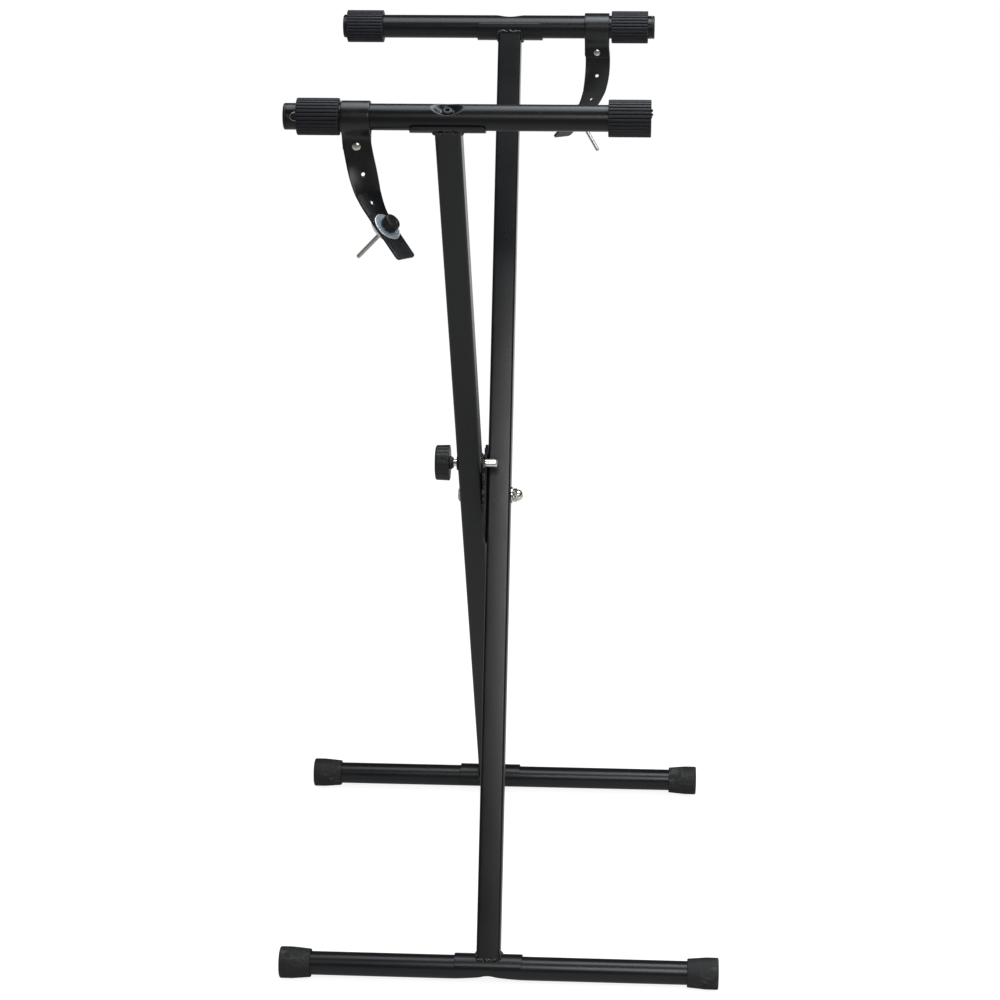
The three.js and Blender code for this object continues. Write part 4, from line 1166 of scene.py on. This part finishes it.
def bolt_source():
    """One button-head bolt, standing in a joint's frame, for placing at all four joints."""
    seat = DIMPLE_FLOOR_HEIGHT + GAP
    top = seat + BOLT_HEAD_HEIGHT
    flat = BOLT_SOCKET * 0.86
    crown = [
        (flat + (BOLT_HEAD_RADIUS - flat) * math.cos(a), seat + 0.5 + (BOLT_HEAD_HEIGHT - 0.5) * math.sin(a))
        for a in (math.pi / 2 * k / 8 for k in range(9))
    ]
    profile = [(0, seat - BOLT_LENGTH), (BOLT_SHANK_RADIUS - 0.5, seat - BOLT_LENGTH)]
    profile += [(BOLT_SHANK_RADIUS, seat - BOLT_LENGTH + 0.6), (BOLT_SHANK_RADIUS, seat)]
    profile += [(BOLT_HEAD_RADIUS - 0.1, seat), *crown, (0, top)]
    obj = make("bolt_pattern", turned(profile, 56), BOLT_BLACK)
    socket = prism(hexagon(BOLT_SOCKET), top - 2.0, top + 1)
    wide = BOLT_SOCKET * 0.66
    mouth = turned([(0, top - 0.35), (BOLT_SOCKET * 0.54, top - 0.35), (wide, top + 0.2), (0, top + 0.2)], 40)
    return shaped(obj, "DIFFERENCE", [(socket, Matrix.Identity(4)), (mouth, Matrix.Identity(4))])


bolt = bolt_source()
for leg, bars in (("leg_a", ("front_top", "rear_base")), ("leg_b", ("rear_top", "front_base"))):
    bolts = fasteners(f"{leg}_bar_bolts", bolt, [joint_place(bar) for bar in bars], BOLT_BLACK, PLACING)
    dress(bolts, leg, "black_steel", *[f"{bar}_bolt" for bar in bars])
remove(bolt)

for bar in BOLT_OFFSETS:
    saddle(bar)
    if bar.endswith("top"):
        end = TOP_BAR_LENGTH / 2
        holes = [BOLT_OFFSETS[bar] + side * (end - BUTTON_INSET) for side in (-1, 1)]
        bar_tube(bar, TOP_BAR_LENGTH - 2 * (PLUG_HEAD + GAP), holes)
        for side, key in ((-1, "outer"), (1, "inner")):
            end_plug(bar, side, key)
            grip_sleeve(bar, side, key)
        button_hole_highlights(bar)
    else:
        bar_tube(bar, BASE_BAR_LENGTH - 2 * (CAP_END_WALL + GAP), [])
        for side, key in ((-1, "outer"), (1, "inner")):
            foot_cap(bar, side, key)

moulding_tags()

# ---------------------------------------------------------------- pivot, locking disc and pull pin

FAR_FACE = HALF_LEG + LEG_SPACING
WASHER_SEAT = FAR_FACE + GAP
ACORN_SEAT = WASHER_SEAT + PIVOT_WASHER_THICKNESS + GAP
BOLT_END = ACORN_SEAT + ACORN_HEX_HEIGHT + ACORN_DOME_RADIUS - ACORN_CROWN - GAP


def pivot_bolt():
    seat = -HALF_LEG - GAP
    top = seat - PIVOT_HEAD_HEIGHT
    profile = eased([
        (0, BOLT_END),
        (PIVOT_RADIUS, BOLT_END, 0.6),
        (PIVOT_RADIUS, seat),
        (PIVOT_HEAD_RADIUS, seat, 0.25),
        (PIVOT_HEAD_RADIUS, seat - 0.9, 0.5),
        (PIVOT_HEAD_RADIUS - 2.6, top, 1.2),
        (0, top),
    ], 6)
    obj = make("pivot_bolt_head", turned(profile, 64), PALE_ZINC_AND_RIM_HIGHLIGHT, ALONG_X)
    socket = prism(hexagon(PIVOT_SOCKET), top - 1, top + 1.5)
    shaped(obj, "DIFFERENCE", [(socket, ALONG_X)])
    settle(obj, LEG_PLACES["leg_a"])
    return dress(obj, "leg_a", "zinc", "pivot_bolt")


def acorn_nut():
    corner = ACORN_WIDTH / 2 / math.cos(math.pi / 6)
    low, high = ACORN_SEAT, ACORN_SEAT + ACORN_HEX_HEIGHT
    wrench = make("acorn_hexagon", prism(hexagon(ACORN_WIDTH), low, high), CHROME, ALONG_X)
    chamfer = [
        (0, low - 0.01),
        (ACORN_WIDTH / 2 - 0.1, low - 0.01),
        (corner, low + 0.8),
        (corner, high - 0.9),
        (ACORN_WIDTH / 2 - 0.2, high + 0.01),
        (0, high + 0.01),
    ]
    shaped(wrench, "INTERSECT", [(turned(chamfer, 72), ALONG_X)], 20)
    softened(wrench, 0.22, 2, 25)
    radius = ACORN_DOME_RADIUS
    dome = [(0, low + 1), (radius - 0.5, low + 1), (radius - 0.4, high), (radius, high + 0.35)]
    for a in np.linspace(0, math.pi / 2, 15):
        dome.append((radius * math.cos(a), high + 0.5 + (radius - 0.5) * math.sin(a)))
    cup = make("acorn_dome", turned(dome, 64), CHROME, ALONG_X)
    thread = rod(PIVOT_RADIUS + GAP, low - 1, BOLT_END + GAP, 0, 40)
    obj = joined("pivot_acorn", [wrench, cup])
    shaped(obj, "DIFFERENCE", [(thread, ALONG_X)])
    settle(obj, LEG_PLACES["leg_a"])
    return dress(obj, "leg_a", "chrome", "pivot_acorn_nut")


def washer_on_pivot(name, outer, low, thickness, finish, slot, node):
    shape = ring(PIVOT_RADIUS + RUN_GAP, outer, low, low + thickness, 0.28, 72)
    obj = make(name, shape, finish, LEG_PLACES["leg_a"] @ ALONG_X)
    return dress(obj, "leg_a", slot, node)


def locking_disc():
    """The notched disc: seven round-bottomed notches in the quarter that the pin sweeps."""
    wide = PIN_HOLE_RADIUS
    mouth = math.asin(wide / DISC_RADIUS)
    outline = []
    angles = [notch_angle(i) for i in range(-NOTCHES_EACH_WAY, NOTCHES_EACH_WAY + 1)]
    for k, angle in enumerate(angles):
        radial = Vector((math.sin(angle), math.cos(angle)))
        across = Vector((math.cos(angle), -math.sin(angle)))
        for step in range(13):
            a = math.pi * step / 12
            at = radial * (PIN_REACH - wide * math.sin(a)) - across * wide * math.cos(a)
            if step == 0:
                outline.append(tuple(radial * math.sqrt(DISC_RADIUS**2 - wide**2) - across * wide))
            outline.append(tuple(at))
            if step == 12:
                outline.append(tuple(radial * math.sqrt(DISC_RADIUS**2 - wide**2) + across * wide))
        following = angles[k + 1] if k + 1 < len(angles) else angles[0] + 2 * math.pi
        start, stop = angle + mouth, following - mouth
        count = max(3, round((stop - start) / math.radians(3)))
        for step in range(1, count):
            a = start + (stop - start) * step / count
            outline.append((DISC_RADIUS * math.sin(a), DISC_RADIUS * math.cos(a)))
    low = HALF_LEG + GAP
    rows = [[(x, y, z) for y, z in outline] for x in (low, low + DISC_THICKNESS)]
    obj = make("notched_locking_disc", loft(rows, capped=True), DARK_STEEL)
    holes = [wall_hole(PIVOT_RADIUS + RUN_GAP, 0, 0, low - 1, low + 4)]
    for side in (-1, 1):
        reach = side * DISC_RIVET_REACH
        holes.append(wall_hole(DISC_RIVET_RADIUS + GAP, 0, reach, low - 1, low + 4))
    shaped(obj, "DIFFERENCE", holes)
    softened(obj, 0.35, 2, 40)
    even_shading(obj)
    settle(obj, LEG_PLACES["leg_b"])
    return dress(obj, "leg_b", "black_steel", "locking_disc")


def bushing(name, bore, flange_radius, flange, facing, node):
    """A flanged bushing in one of leg A's walls."""
    barrel = bore + BUSHING_WALL
    inner = HALF_LEG - LEG_WALL
    seat = HALF_LEG + GAP
    profile = eased([
        (bore, inner, 0.2),
        (barrel, inner, 0.2),
        (barrel, seat),
        (flange_radius, seat, 0.2),
        (flange_radius, seat + flange, min(0.5, flange * 0.45)),
        (bore, seat + flange, 0.3),
    ], 4, loop=True)
    place = PIN_PLACE @ turn("Z", 0 if facing > 0 else math.pi) @ ALONG_X
    obj = make(name, turned(profile, 56), NYLON, place)
    return dress(obj, "leg_a", "black_nylon", node)


COLLAR_END = HALF_LEG - LEG_WALL - GAP
KNOB_FACE = -(HALF_LEG + PIN_STANDOFF)
KNOB_HUB_FACE = KNOB_FACE + KNOB_HUB_HEIGHT
SHAFT_END = KNOB_HUB_FACE - KNOB_BORE
PIN_PLACE = LEG_PLACES["leg_a"] @ move(0, 0, PIN_REACH)


def pull_pin():
    tip = HALF_LEG + PIN_NOSE
    profile = eased([
        (0, SHAFT_END),
        (PIN_SHAFT_RADIUS, SHAFT_END, 0.4),
        (PIN_SHAFT_RADIUS, COLLAR_END - PIN_COLLAR_THICKNESS, 0.2),
        (PIN_COLLAR_RADIUS, COLLAR_END - PIN_COLLAR_THICKNESS, 0.3),
        (PIN_COLLAR_RADIUS, COLLAR_END, 0.3),
        (PIN_RADIUS, COLLAR_END, 0.2),
        (PIN_RADIUS, tip, PIN_NOSE_ROUND),
        (0, tip),
    ], 10)
    obj = make("locking_pin", turned(profile, 64), CHROME, PIN_PLACE @ ALONG_X)
    return dress(obj, "pull_pin", "chrome", "pull_pin")


def pin_dark_band():
    """A thin dark skin over the pin, from inside leg A's wall to just past the disc's notch, that makes the
    pin darker there.
    """
    shape = ring(PIN_RADIUS + 0.03, PIN_RADIUS + 0.27, COLLAR_END + 0.1, HALF_LEG + 4.1, 0.1, 64)
    obj = make("pin_dark_shoulder", shape, NYLON, PIN_PLACE @ ALONG_X)
    return dress(obj, "pull_pin", "black_nylon")


def pull_knob():
    """The round pull knob: shallow flutes, a rolled outer edge and a hub round the shaft."""
    back = KNOB_FACE - KNOB_THICKNESS
    bore = PIN_SHAFT_RADIUS + GAP
    side = [
        (KNOB_RADIUS - 0.35 * k / 6, KNOB_FACE - 1.2 - (KNOB_THICKNESS - KNOB_EDGE) * k / 6, 0)
        for k in range(7)
    ]
    profile = eased([
        (0, SHAFT_END - GAP),
        (bore, SHAFT_END - GAP),
        (bore, KNOB_HUB_FACE, 0.3),
        (KNOB_HUB_RADIUS - 1.1, KNOB_HUB_FACE, 0.5),
        (KNOB_HUB_RADIUS - 1.1, KNOB_HUB_FACE - 1.5, 0.2),
        (KNOB_HUB_RADIUS, KNOB_HUB_FACE - 1.5, 0.4),
        (KNOB_HUB_RADIUS, KNOB_FACE, 0.5),
        (KNOB_RADIUS, KNOB_FACE, 1.1),
        *side,
        (KNOB_RADIUS - 0.4, back, KNOB_EDGE),
        (9.5, back, 0.8),
        (8.9, back + 0.7, 0.8),
        (0, back + 0.7),
    ], 8)
    obj = make("fluted_pull_knob", turned(profile, KNOB_FLUTES * 12), NYLON, ALONG_X)
    grow(
        obj, RIBS, NYLON, 50,
        Ribs=float(KNOB_FLUTES), Depth=KNOB_FLUTE_DEPTH * MM, Crest=KNOB_FLUTE_CREST,
        Core=(KNOB_RADIUS - 4.2) * MM, Fade=3.6 * MM,
    )
    settle(obj, PIN_PLACE)
    return dress(obj, "pull_pin", "black_nylon", "pull_knob")


def disc_rivets():
    """Two flat-headed rivets through the disc and leg B's inner wall."""
    seat = HALF_LEG + GAP + DISC_THICKNESS + GAP
    inside = HALF_LEG - LEG_WALL - GAP
    profile = eased([
        (0, inside - DISC_RIVET_HEIGHT),
        (DISC_RIVET_HEAD, inside - DISC_RIVET_HEIGHT, 0.3),
        (DISC_RIVET_HEAD, inside),
        (DISC_RIVET_RADIUS, inside),
        (DISC_RIVET_RADIUS, seat),
        (DISC_RIVET_HEAD, seat),
        (DISC_RIVET_HEAD, seat + DISC_RIVET_HEIGHT, 0.45),
        (0, seat + DISC_RIVET_HEIGHT),
    ], 4)
    source = make("rivet_pattern", turned(profile, 40), ZINC, ALONG_X)
    places = [LEG_PLACES["leg_b"] @ move(0, 0, side * DISC_RIVET_REACH) for side in (1, -1)]
    obj = fasteners("disc_rivet_pair", source, places, ZINC, PLACING)
    remove(source)
    return dress(obj, "leg_b", "zinc", "disc_rivet_upper", "disc_rivet_lower")


pivot_bolt()
acorn_nut()
washer_on_pivot(
    "pivot_plain_washer", PIVOT_WASHER_RADIUS, WASHER_SEAT, PIVOT_WASHER_THICKNESS,
    CHROME, "chrome", "pivot_washer",
)
washer_on_pivot(
    "pivot_rubbing_washer", FRICTION_WASHER_RADIUS, HALF_LEG + GAP, FRICTION_WASHER_THICKNESS,
    NYLON, "black_nylon", "pivot_friction_washer",
)
locking_disc()
disc_rivets()
bushing("pin_inner_bushing", PIN_HOLE_RADIUS, GUIDE_FLANGE_RADIUS, GUIDE_FLANGE, 1, "pin_guide_bushing")
bushing("pin_outer_bushing", SHAFT_BORE_RADIUS, GRIP_FLANGE_RADIUS, GRIP_FLANGE, -1, "pin_grip_bushing")
pull_pin()
pin_dark_band()
pull_knob()

# ---------------------------------------------------------------- keyboard straps


def bezier(a, b, c, d, t):
    s = 1 - t
    return a * s**3 + b * 3 * s * s * t + c * 3 * s * t * t + d * t**3


def relaxed(stations, low, high, rounds=50):
    """Eases the bend of the band between two of its stations."""
    points = [point for point, _ in stations]
    for _ in range(rounds):
        points[low:high] = [(points[i - 1] + points[i] * 2 + points[i + 1]) / 4 for i in range(low, high)]
    return [(point, twist) for point, (_, twist) in zip(points, stations)]


def eased_start(share, soft=0.16):
    """A share from 0 to 1 that sets off gently instead of at once."""
    here = share * share / (2 * soft) if share < soft else share - soft / 2
    return here / (1 - soft / 2)


def strap_stations(curl, straight=14, loop=72, steps=72):
    """Points along the middle of the band with its twist: short layer, loop, curl and lower end."""
    climbs = np.linspace(0, STRAP_TAIL - STRAP_PINCH, straight)
    side = [Vector((STRAP_LAYER, -STRAP_TAIL + climb)) for climb in climbs]
    edge = Vector((STRAP_LOOP_RADIUS * math.cos(STRAP_LEAVE), -STRAP_LOOP_RADIUS * math.sin(STRAP_LEAVE)))
    pull = (STRAP_PINCH + edge.y) / 2
    lean = Vector((math.sin(STRAP_LEAVE), math.cos(STRAP_LEAVE))) * pull
    low = Vector((STRAP_LAYER, -STRAP_PINCH))
    rise = [bezier(low, low + Vector((0, pull)), edge - lean, edge, t) for t in np.linspace(0, 1, 20)[1:]]
    side += rise
    for a in np.linspace(-STRAP_LEAVE, math.pi + STRAP_LEAVE, loop)[1:]:
        side.append(Vector((STRAP_LOOP_RADIUS * math.cos(a), STRAP_LOOP_RADIUS * math.sin(a))))
    side += [Vector((-p.x, p.y)) for p in reversed(rise[:-1])] + [Vector((-STRAP_LAYER, -STRAP_PINCH))]
    stations = [(Vector((0, p.x, p.y)), 0.0) for p in side]
    start = Vector((0, -STRAP_LAYER, -STRAP_PINCH))
    end = start + Vector((curl["across"], -STRAP_CURL_OUT, -STRAP_CURL_DOWN))
    hang = start + Vector((curl["lean"], 0, -STRAP_START_PULL))
    for k in range(1, steps + 1):
        t = k / steps
        turning = eased_start(max(0.0, (t - STRAP_TWIST_START) / (1 - STRAP_TWIST_START)))
        point = bezier(start, hang, end - STRAP_BLADE_RUN * STRAP_END_PULL, end, t)
        stations.append((point, curl["twist"] * math.sin(turning * math.pi / 2)))
    bend = len(stations)
    rounding = [STRAP_BLADE - STRAP_END_ROUND * (1 - math.sin(a)) for a in np.linspace(0, math.pi / 2, 7)]
    for along in [*np.linspace(0, STRAP_BLADE - STRAP_END_ROUND, 48)[1:-1], *rounding]:
        stations.append((end + STRAP_BLADE_RUN * along, curl["twist"]))
    return relaxed(stations, bend - 28, bend + 9, 320)


def with_frames(stations):
    """Adds to each station the way along the band, across it and out of its outer face."""
    frames = []
    travelled = 0.0
    for i, (point, twist) in enumerate(stations):
        before = stations[max(i - 1, 0)][0]
        after = stations[min(i + 1, len(stations) - 1)][0]
        travelled += (point - before).length
        along = (after - before).normalized()
        level = (Vector((1, 0, 0)) - along * along.x).normalized()
        out = along.cross(level)
        across = level * math.cos(twist) - out * math.sin(twist)
        face = along.cross(across)
        frames.append({"point": point, "run": travelled, "along": along, "across": across, "out": face})
    return frames


def on_band(band, from_end):
    """The place on a band at a distance from its lower end, with +Z out of the outer face."""
    target = band[-1]["run"] - from_end
    k = next(i for i, f in enumerate(band) if f["run"] >= target)
    low, high = band[k - 1], band[k]
    share = (target - low["run"]) / (high["run"] - low["run"])
    point = low["point"].lerp(high["point"], share)
    out = low["out"].lerp(high["out"], share).normalized()
    across = (low["across"] - out * low["across"].dot(out)).normalized()
    place = Matrix((across, out.cross(across), out)).transposed().to_4x4()
    return Matrix.Translation(point) @ place


def band_section(half_width, half_thick, edge):
    """The band's section, with its edges rounded and its face a touch full in the middle."""
    corners = [(-half_width, -half_thick, edge), (half_width, -half_thick, edge)]
    corners += [(half_width, half_thick, edge), (-half_width, half_thick, edge)]
    section = eased(corners, 4, loop=True)
    fine = []
    for k, (u, v) in enumerate(section):
        nu, nv = section[(k + 1) % len(section)]
        pieces = 12 if abs(nu - u) > half_width else 1
        fine += [(u + (nu - u) * j / pieces, v + (nv - v) * j / pieces) for j in range(pieces)]
    return fine


def strap_band(name, band, place):
    rows = []
    for i, f in enumerate(band):
        left = band[-1]["run"] - f["run"]
        near = min(left, f["run"])
        narrow = 0.0
        if near < STRAP_END_ROUND:
            narrow = STRAP_END_ROUND - math.sqrt(max(STRAP_END_ROUND**2 - (STRAP_END_ROUND - near) ** 2, 0.0))
        thin = 0.35 if i in (0, len(band) - 1) else 0.0
        half = STRAP_BAND_WIDTHS[name] / 2 - narrow
        section = band_section(half - thin, STRAP_THICKNESS / 2 - thin, 0.75 if not thin else 0.5)
        rows.append([f["point"] + f["across"] * u + f["out"] * v for u, v in section])
    obj = make(f"{name}_strap_band", loft(rows, capped=True), STRAP, crease=45)
    tools = []
    for k in range(3):
        radius = STRAP_FREE_HOLE_RADIUS if k else STRAP_HOLE_RADIUS
        hole = turned([(0, -5), (radius, -5), (radius, 0.8), (radius + 0.75, 1.55), (0, 1.55)], 40)
        tools.append((hole, on_band(band, STRAP_SCREW_INSET + k * STRAP_HOLE_PITCH)))
    rivet = turn("X", math.pi / 2)
    tools.append((rod(RIVET_SHANK_RADIUS + GAP, -6, 6, 0, 32), move(0, 0, -STRAP_RIVET_DROP) @ rivet))
    shaped(obj, "DIFFERENCE", tools, 45)
    settle(obj, place)
    return dress(obj, f"{name}_strap", "strap_band", f"{name}_strap")


def strap_rivet(name, place):
    """The cap rivet that closes a strap round its bar."""
    face = STRAP_LAYER + STRAP_THICKNESS / 2 + GAP
    head = RIVET_HEAD_RADIUS
    rise = np.linspace(0, math.pi / 2, 13)[:-1]
    crown = [(head * math.cos(a), face + 0.35 + 1.85 * math.sin(a)) for a in rise]
    profile = [(0, -face - 1.0), (head * 0.72, -face - 1.0), (head * 0.8, -face - 0.8)]
    profile += [(head * 0.8, -face), (RIVET_SHANK_RADIUS, -face)]
    profile += [(RIVET_SHANK_RADIUS, face), (head - 0.2, face), (head, face + 0.2), *crown, (0, face + 2.2)]
    upright = move(0, 0, -STRAP_RIVET_DROP) @ turn("X", math.pi / 2)
    obj = make(f"{name}_cap_rivet", turned(profile, 56), CHROME, place @ upright)
    return dress(obj, f"{name}_strap", "chrome", f"{name}_strap_rivet")


SCREW_WASHER_SEAT = STRAP_THICKNESS / 2 + GAP
THUMB_SEAT = SCREW_WASHER_SEAT + SCREW_WASHER_THICKNESS + GAP


def thumb_knob(name, place):
    top = THUMB_SEAT + THUMB_HEIGHT
    profile = eased([
        (0, THUMB_SEAT + 6.3),
        (ROD_RADIUS + GAP, THUMB_SEAT + 6.3),
        (ROD_RADIUS + GAP, THUMB_SEAT, 0.2),
        (THUMB_RADIUS - 1.0, THUMB_SEAT, 0.4),
        (THUMB_RADIUS, THUMB_SEAT + 1.1, 0.6),
        (THUMB_RADIUS - 0.15, top, 2.6),
        (THUMB_RADIUS * 0.45, top - 0.1, 0.5),
        (THUMB_RADIUS * 0.4, top - 0.5, 0.4),
        (0, top - 0.5),
    ], 9)
    obj = make(f"{name}_thumb_knob", turned(profile, 72), NYLON, place)
    return dress(obj, f"{name}_screw", "black_nylon", f"{name}_screw_knob")


def threaded_rod(name, place):
    top = THUMB_SEAT + 6.0
    length = top + ROD_BEHIND
    steps = int(length / THREAD_PITCH * 6)
    tip = -ROD_BEHIND
    profile = [(0, tip), (ROD_RADIUS * 0.5, tip + 0.15), (ROD_RADIUS * 0.82, tip + 0.6)]
    profile += [(ROD_RADIUS, tip + 1.3 + (length - 1.3) * k / steps) for k in range(steps + 1)]
    profile.append((0, top))
    obj = make(f"{name}_threaded_rod", turned(profile, 22), ROD_ZINC_AND_HOLE_HIGHLIGHT, crease=60)
    grow(
        obj, THREAD, ROD_ZINC_AND_HOLE_HIGHLIGHT, 70,
        Pitch=THREAD_PITCH * MM, Depth=THREAD_DEPTH * MM, Core=ROD_RADIUS * 0.9 * MM,
    )
    settle(obj, place)
    return dress(obj, f"{name}_screw", "zinc", f"{name}_screw_rod")


def screw_washer(label, radius, low, finish, slot, name, node, place):
    shape = ring(STRAP_HOLE_RADIUS, radius, low, low + SCREW_WASHER_THICKNESS, 0.55, 96)
    obj = make(f"{name}_{label}", shape, finish, place)
    return dress(obj, f"{name}_strap", slot, f"{name}_{node}")


def washer_rim_highlight(name, place, low):
    """A ring of paler plating over the washer's outer edge: a painted highlight on its rim."""
    high = low + SCREW_WASHER_THICKNESS
    profile = eased([
        (FRONT_WASHER_RADIUS - WASHER_RIM, low + 0.3, 0.15),
        (FRONT_WASHER_RADIUS + 0.08, low + 0.1, 0.25),
        (FRONT_WASHER_RADIUS + 0.08, high - 0.25, 0.4),
        (FRONT_WASHER_RADIUS - 0.75, high + 0.16, 0.3),
        (FRONT_WASHER_RADIUS - WASHER_RIM, high - 0.2, 0.1),
    ], 5, loop=True)
    # the paler ring paints the highlight on the washer's rim
    obj = make(f"{name}_washer_rim", turned(profile, 96), PALE_ZINC_AND_RIM_HIGHLIGHT, place)
    return dress(obj, f"{name}_strap", "zinc")


def screw_washers(name, place):
    front, back = SCREW_WASHER_SEAT, -SCREW_WASHER_SEAT - SCREW_WASHER_THICKNESS
    screw_washer("steel_washer", FRONT_WASHER_RADIUS, front, WASHER_ZINC, "zinc", name, "screw_washer", place)
    screw_washer(
        "nylon_washer", BACK_WASHER_RADIUS, back, WHITE_NYLON, "white_nylon", name, "screw_pad", place
    )
    washer_rim_highlight(name, place, front)


def strap_offset(name):
    """From the middle of the bar to the middle of the strap beside its outer sleeve."""
    return TOP_BAR_LENGTH / 2 - STRAP_SEATS[name] - STRAP_WIDTH / 2


for name, bar in (("front", "front_top"), ("rear", "rear_top")):
    band = with_frames(strap_stations(STRAP_CURLS[name]))
    hanging = level_place(bar, BOLT_OFFSETS[bar] - strap_offset(name))
    screw = hanging @ on_band(band, STRAP_SCREW_INSET)
    strap_band(name, band, hanging)
    strap_rivet(name, hanging)
    thumb_knob(name, screw)
    threaded_rod(name, screw)
    screw_washers(name, screw)

# ---------------------------------------------------------------- what stays as the CAD gave it

HIDDEN_NODES = (
    "leg_a_crush_sleeve", "leg_b_crush_sleeve", "front_top_nut", "rear_base_nut",
    "rear_top_nut", "front_base_nut", "pin_spring",
)
for node in HIDDEN_NODES:
    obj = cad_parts[node]
    obj.data.materials.clear()
    obj.data.materials.append(ZINC)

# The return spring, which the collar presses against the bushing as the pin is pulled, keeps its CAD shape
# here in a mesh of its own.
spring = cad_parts["pin_spring"]
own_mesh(spring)

# ---------------------------------------------------------------- studio


def white_floor():
    """A pale floor that reads as white where nothing shades it. In reflections it glows as well, hardly at
    all in front, faintly round the stand and fully far behind it: a painted glow from a floor that is no
    lamp.
    """
    mesh = bpy.data.meshes.new("studio_floor")
    reach = 30.0
    corners = [(-reach, -reach, 0), (reach, -reach, 0), (reach, reach, 0), (-reach, reach, 0)]
    mesh.from_pydata(corners, [], [(0, 1, 2, 3)])
    obj = bpy.data.objects.new("studio_floor", mesh)
    scene.collection.objects.link(obj)
    f = Finish("white studio floor", (FLOOR_TONE,) * 3, 0.9, Specular_IOR_Level=0.1)
    path = f.add("ShaderNodeLightPath").outputs
    clear = f.maths("MAXIMUM", path["Is Camera Ray"], path["Is Transmission Ray"])
    split = f.add("ShaderNodeSeparateXYZ")
    wire(f.tree, split.inputs[0], f.coords)
    # the floor's glow as seen in reflections, graded from front to back: painted light
    behind = f.ranged(split.outputs["Y"], 0.7, 2.2, FLOOR_GLOSS, 1.0)
    near = f.ranged(split.outputs["Y"], -3.2, -0.9, 0.1, 1.0)
    mirrored = f.maths("MULTIPLY", path["Is Glossy Ray"], f.maths("MULTIPLY", behind, near))
    seen = f.maths("MAXIMUM", clear, mirrored)
    f.shader.inputs["Emission Color"].default_value = (1, 1, 1, 1)
    f.put("Emission Strength", f.maths("MULTIPLY", seen, FLOOR_GLOW))
    mesh.materials.append(f.material)


def studio_world():
    """White for the camera; in reflections a dim band low down and a dimmer room above it; an even ambient
    for diffuse light.
    """
    world = bpy.data.worlds.new("studio")
    scene.world = world
    world.use_nodes = True
    tree = world.node_tree
    tree.nodes.clear()
    add = tree.nodes.new
    path = add("ShaderNodeLightPath").outputs
    direction = add("ShaderNodeTexCoord").outputs["Generated"]
    split = add("ShaderNodeSeparateXYZ")
    tree.links.new(direction, split.inputs[0])
    low = add("ShaderNodeMapRange")
    low.interpolation_type = "SMOOTHSTEP"
    for socket, value in zip(low.inputs, (split.outputs["Z"], 0.02, 0.16, LOW_GLOSS, ROOM_GLOSS)):
        wire(tree, socket, value)

    def maths(operation, first, second):
        node = add("ShaderNodeMath")
        node.operation = operation
        wire(tree, node.inputs[0], first)
        wire(tree, node.inputs[1], second)
        return node.outputs[0]

    clear = maths("MAXIMUM", path["Is Camera Ray"], path["Is Transmission Ray"])
    glossy = maths("MULTIPLY", path["Is Glossy Ray"], low.outputs[0])
    ambient = maths("MULTIPLY", path["Is Diffuse Ray"], AMBIENT)
    whole = maths("MAXIMUM", maths("MAXIMUM", clear, glossy), ambient)
    back = add("ShaderNodeBackground")
    back.inputs["Color"].default_value = (1, 1, 1, 1)
    wire(tree, back.inputs["Strength"], whole)
    out = add("ShaderNodeOutputWorld")
    wire(tree, out.inputs["Surface"], back.outputs[0])


def softbox(name, place, aim, width, height, radiance, colour, spread=180):
    light = bpy.data.lights.new(name, "AREA")
    light.shape = "RECTANGLE"
    light.size, light.size_y = width, height
    light.energy = radiance * math.pi * width * height
    light.color = colour
    light.spread = math.radians(spread)
    obj = bpy.data.objects.new(name, light)
    scene.collection.objects.link(obj)
    obj.location = place
    obj.rotation_euler = (Vector(aim) - Vector(place)).to_track_quat("-Z", "Y").to_euler()
    obj.visible_camera = False


FLOOR_TONE = 0.33
FLOOR_GLOW = 0.86
FLOOR_GLOSS = 0.2
AMBIENT = 0.45
LOW_GLOSS = 0.14
ROOM_GLOSS = 0.06
white_floor()
studio_world()
softbox("overhead softbox", (0.42, -0.015, 1.87), (0.42, -0.129, 0.8765), 1.74, 0.88, 3.3, (0.9, 0.96, 1.0))
softbox("overhead core", (0.5, 0.15, 1.84), (0.5, 0.036, 0.8465), 0.94, 0.42, 3.1, (0.9, 0.96, 1.0))
softbox("front strip", (0.58, -1.62, 1.43), (0.46, -0.37, 0.04), 1.3, 0.8, 1.25, (1.0, 0.99, 0.96), spread=80)

# ---------------------------------------------------------------- camera

SENSOR_WIDTH = 36.0
FOCAL_PIXELS = 2670.74
PHOTO_WIDTH = 1000


def camera():
    """The photograph's viewpoint: a little to the right, looking down about twenty degrees."""
    place = Vector((0.19044, -2.74307, 1.48451))
    yaw, pitch, roll = 0.06877, 0.35456, -0.00799
    forward = Vector((-math.sin(yaw) * math.cos(pitch), math.cos(yaw) * math.cos(pitch), -math.sin(pitch)))
    right = Vector((math.cos(yaw), math.sin(yaw), 0))
    up = right.cross(forward)
    rolled_right = right * math.cos(roll) + up * math.sin(roll)
    rolled_up = up * math.cos(roll) - right * math.sin(roll)
    data = bpy.data.cameras.new("camera")
    data.sensor_width = SENSOR_WIDTH
    data.lens = FOCAL_PIXELS * SENSOR_WIDTH / PHOTO_WIDTH
    data.clip_start, data.clip_end = 0.05, 200.0
    obj = bpy.data.objects.new("camera", data)
    scene.collection.objects.link(obj)
    turned_to = Matrix((rolled_right, rolled_up, -forward)).transposed()
    obj.matrix_world = Matrix.Translation(place) @ turned_to.to_4x4()
    scene.camera = obj


camera()
scene.view_settings.view_transform = "Standard"
